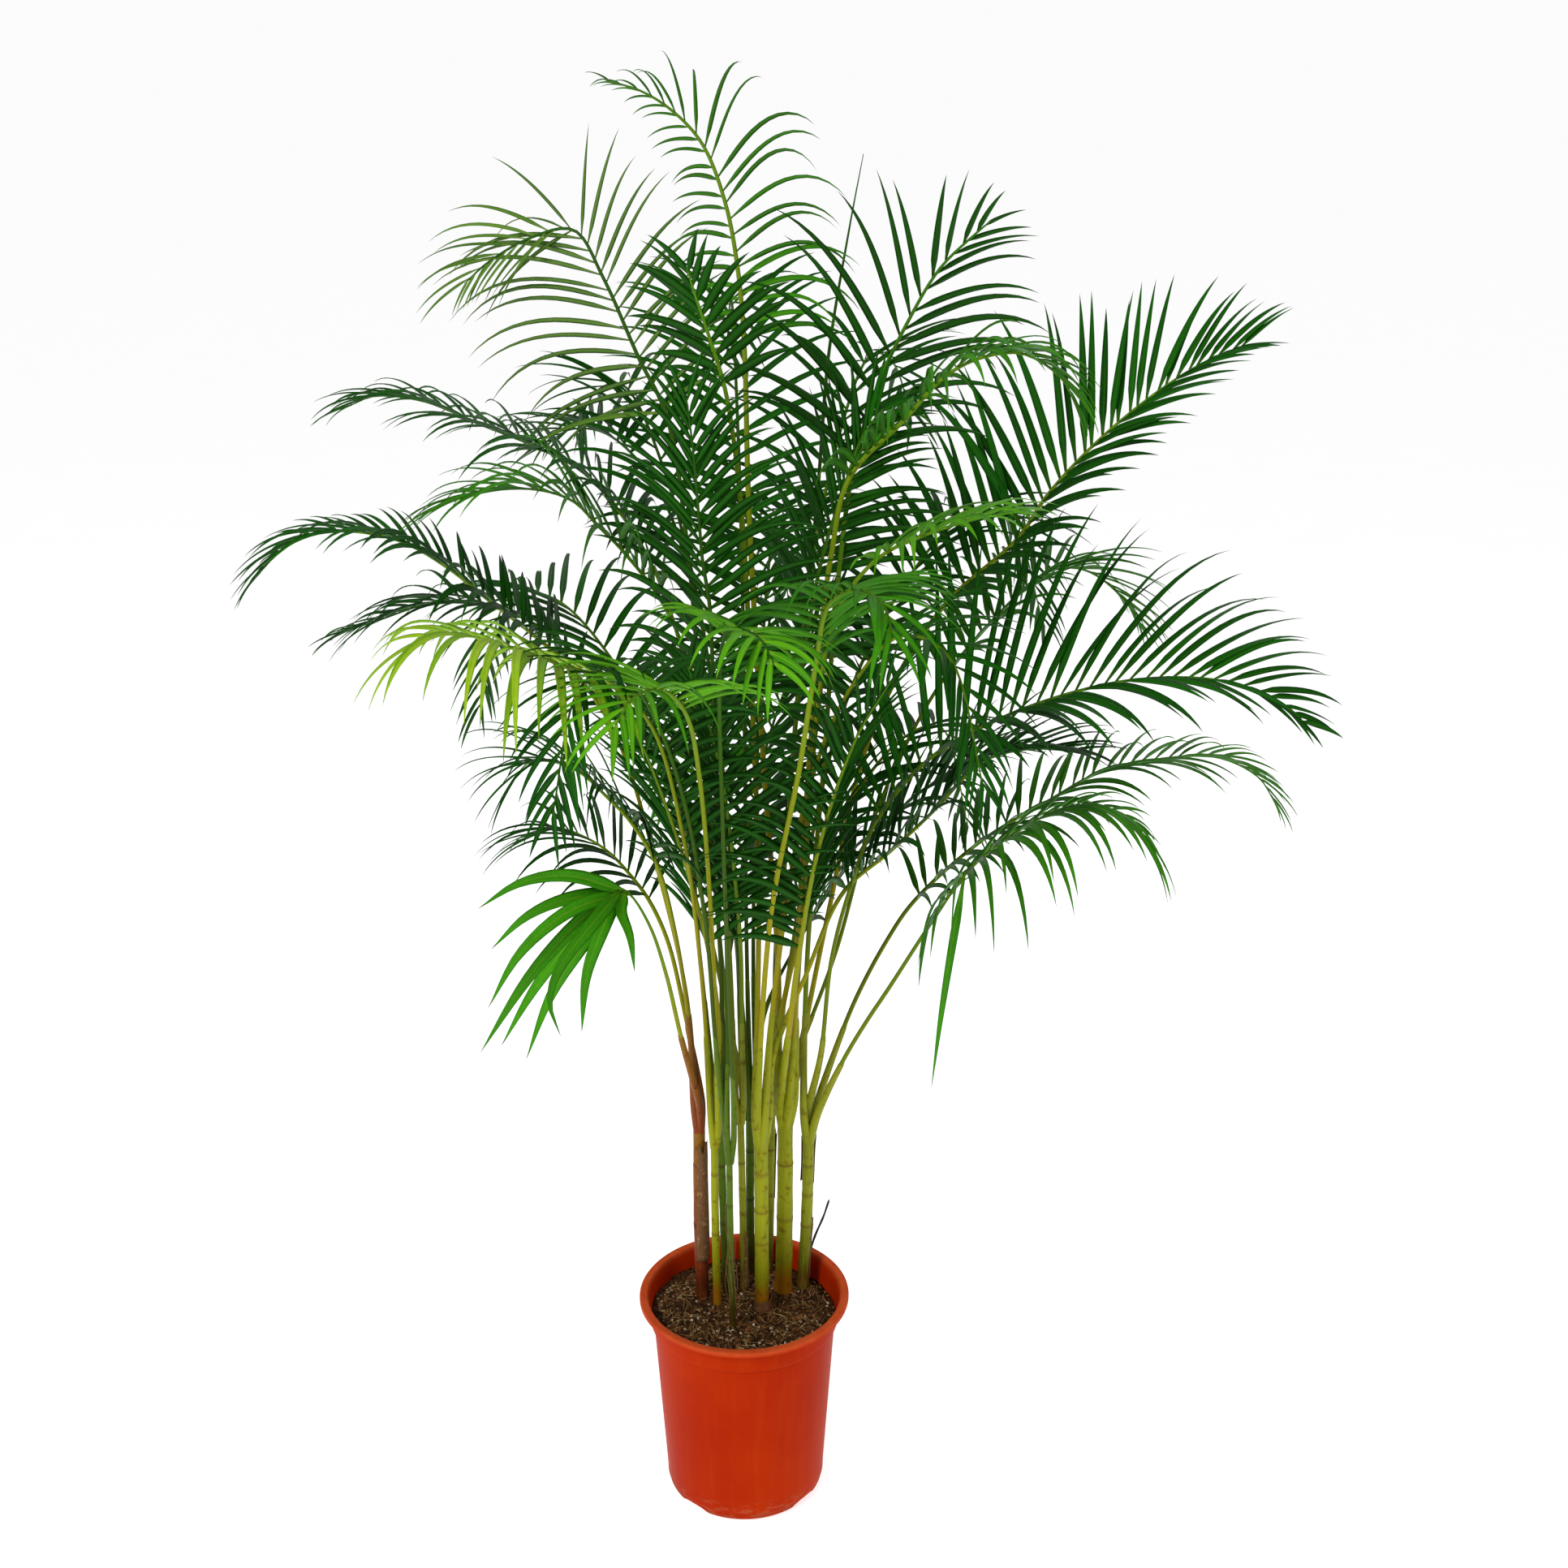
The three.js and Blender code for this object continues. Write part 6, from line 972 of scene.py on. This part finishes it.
def fronds():
    for fi, f in enumerate(FRONDS):
        C, par = spline(f["points"], 16)
        s = lengths(C)
        S = side_of(f)
        # stalk
        count = max(40, int(s[-1] / 9))
        cc = resample(C, count)
        pp = np.interp(np.linspace(0, s[-1], count), s, par) / (len(f["points"]) - 1)
        rr = []
        for i in range(count):
            u = float(pp[i])
            r = min(f["radius"], f["radius"] * (1 - u) ** 0.8 * 1.12 + 0.7)
            h = i / (count - 1) * s[-1]
            r *= 1 + 0.12 * math.exp(-((h / 30) ** 2)) + 0.22 * math.exp(-((h / 260) ** 2))
            rr.append(r if i < count - 1 else r * 0.6)
        b = Build()
        if f["leaflet"] == 0:
            # a leaf that has not opened yet: a long closed spindle
            for i in range(count):
                u = i / (count - 1)
                if u > 0.5:
                    k = (u - 0.5) / 0.5
                    rr[i] = rr[i] * (1 - k) + (3.4 * math.sin(math.pi * min(1, 0.35 + 0.65 * k)) + 0.5) * k
            tube(b, cc, rr, S, 12, 0.4, 0.8, 0.25)
            place(b.make(f["name"] + "_stalk", STALK["dark"]), "stalk_skin", f["name"])
            continue
        tube(b, cc, rr, S, 10, 0.5, 0.92, 0.22)
        place(b.make(f["name"] + "_stalk", STALK[f["stalk"]]), "stalk_skin", f["name"])
        # leaflets
        b = Build()
        i0 = int(np.searchsorted(par, f["leafStart"]))
        Cb = C[i0:]
        seg = lengths(Cb)
        blade = seg[-1]
        pairs = 0 if f["leaflet"] < 1 else max(9, int(round(blade / f["spacing"])))
        for i in range(pairs):
            for sd in (-1, 1):
                r = lambda k: rnd(fi * 13.7 + i * 1.31, sd * 5.1 + k * 2.7)
                w = min(0.998, max(0.0, (i + 0.5 + (0.2 if sd > 0 else -0.2) + (r(0) - 0.5) * 0.35) / pairs))
                d0 = w * blade
                j = min(len(seg) - 2, max(0, int(np.searchsorted(seg, d0) - 1)))
                a = (d0 - seg[j]) / max(1e-9, seg[j + 1] - seg[j])
                p = Cb[j] * (1 - a) + Cb[j + 1] * a
                T = unit(Cb[min(len(Cb) - 1, j + 2)] - Cb[max(0, j - 1)])
                B = unit(S - T * np.dot(S, T))
                N = np.cross(T, B)
                if N[2] < 0:
                    N = -N
                ro = math.radians(f["roll"])
                B, N = B * math.cos(ro) + N * math.sin(ro), N * math.cos(ro) - B * math.sin(ro)
                prof = (0.72 + 0.28 * w / 0.3) if w < 0.3 else 1 - (1 - f["tipRatio"]) * ((w - 0.3) / 0.7) ** 1.4
                L = f["leaflet"] * prof * f["sides"][0 if sd < 0 else 1] * (0.9 + 0.16 * r(1))
                ph = math.radians(f["baseAngle"] + (f["tipAngle"] - f["baseAngle"]) * w ** 1.25 + (r(2) - 0.5) * 10)
                v = math.radians(f["vee"] * (1 - 0.45 * w) + (r(3) - 0.5) * 16)
                d = math.cos(ph) * T + math.sin(ph) * (math.cos(v) * sd * B + math.sin(v) * N)
                dr = f["droop"] * (0.75 + 0.5 * r(4))
                q = [p.copy()]
                K = STATIONS
                for k in range(K):
                    t = (k + 0.5) / K
                    d = unit(d + np.array([0, 0, -1.0]) * dr * t ** 1.1 * (1.9 / K) * (L / 150) ** 0.5)
                    q.append(q[-1] + d * L / K)
                wd = f["width"] * (0.78 + 0.22 * min(1.0, L / f["leaflet"] * 1.2)) * (0.88 + 0.24 * r(5)) * (1 - 0.25 * w)
                leaflet(b, np.array(q), N, wd, min(1.0, max(0.0, f["shade"] + (r(6) - 0.5) * 0.5)), (r(7) - 0.5) * 1.0)
        for ri, route in enumerate(f.get("routes", [])):
            q, _ = spline(route, 6)
            q = resample(q, 16)
            T = unit(q[1] - q[0])
            N = np.array([0.25, -0.75, 0.6])
            N = unit(N - T * np.dot(T, N))
            leaflet(b, q, N, f["width"] * (1.15 if f["name"] != "frond_right_low_hang" else 0.9), min(1.0, f["shade"] + 0.3 * rnd(fi, ri)), (rnd(fi, ri + 5) - 0.5) * 0.8)
        place(b.make(f["name"] + "_leaflets", LEAF[f["leaf"]]), SLOT[f["leaf"]], f["name"])


SLOT = {"green": "leaf_green", "pale": "leaf_pale", "deep": "leaf_deep", "fresh": "leaf_fresh", "lime": "leaf_lime"}

pot()
soil()
soil_bits()
canes()
dry_strands()
stick()
fronds()

# ---------------------------------------------------------------- floor, light, camera
def stage():
    mesh = bpy.data.meshes.new("floor")
    s = 60.0
    mesh.from_pydata([(-s, -s, -0.0004), (s, -s, -0.0004), (s, s, -0.0004), (-s, s, -0.0004)], [], [(0, 1, 2, 3)])
    n = Nodes("pale_floor", 0.9, 0.0)
    grain = n.noise(n.coord(), 3.0, 2.0)
    n.p.inputs["Emission Color"].default_value = (1, 1, 1, 1)
    n.p.inputs["Emission Strength"].default_value = 0.68
    mesh.materials.append(n.done(n.mix(n.remap(grain, 0.3, 0.7), (0.86, 0.86, 0.86, 1), (0.88, 0.88, 0.88, 1))))
    floor = bpy.data.objects.new("floor", mesh)
    bpy.context.scene.collection.objects.link(floor)


def area(name, loc, target, size, power, colour=(1, 1, 1)):
    light = bpy.data.lights.new(name, "AREA")
    light.shape, light.size, light.energy, light.color = "DISK", size, power, colour
    o = bpy.data.objects.new(name, light)
    o.location = loc
    o.rotation_mode = "QUATERNION"
    o.rotation_quaternion = (Vector(target) - Vector(loc)).to_track_quat("-Z", "Y")
    bpy.context.scene.collection.objects.link(o)


stage()
area("key", (-1.9, -2.6, 3.2), (0, 0, 0.9), 1.4, 78, (1.0, 0.985, 0.95))
area("fill", (2.6, -2.2, 1.9), (0, 0, 0.7), 2.4, 16, (0.97, 0.99, 1.0))
area("rim", (0.9, 2.6, 3.0), (0, 0, 1.0), 1.6, 26)

scene = bpy.context.scene
world = bpy.data.worlds.new("studio")
world.use_nodes = True
tree = world.node_tree
bg = tree.nodes["Background"]
bg.inputs[0].default_value = (1.0, 1.0, 1.0, 1.0)
bg.inputs[1].default_value = 0.34
seen = tree.nodes.new("ShaderNodeBackground")
seen.inputs[0].default_value = (0.97, 0.97, 0.97, 1.0)
path = tree.nodes.new("ShaderNodeLightPath")
both = tree.nodes.new("ShaderNodeMixShader")
tree.links.new(path.outputs["Is Camera Ray"], both.inputs[0])
tree.links.new(bg.outputs[0], both.inputs[1])
tree.links.new(seen.outputs[0], both.inputs[2])
tree.links.new(both.outputs[0], tree.nodes["World Output"].inputs[0])
scene.world = world
scene.view_settings.view_transform = "Standard"
scene.view_settings.look = "None"

data = bpy.data.cameras.new("camera")
data.sensor_width = 36.0
data.lens = 2200 / 1932 * 36
data.clip_end = 100
camera = bpy.data.objects.new("camera", data)
camera.location = (0.04564, -1.77222, 1.43451)
camera.rotation_euler = (math.pi / 2 - 0.31405, 0, 0)
scene.collection.objects.link(camera)
scene.camera = camera
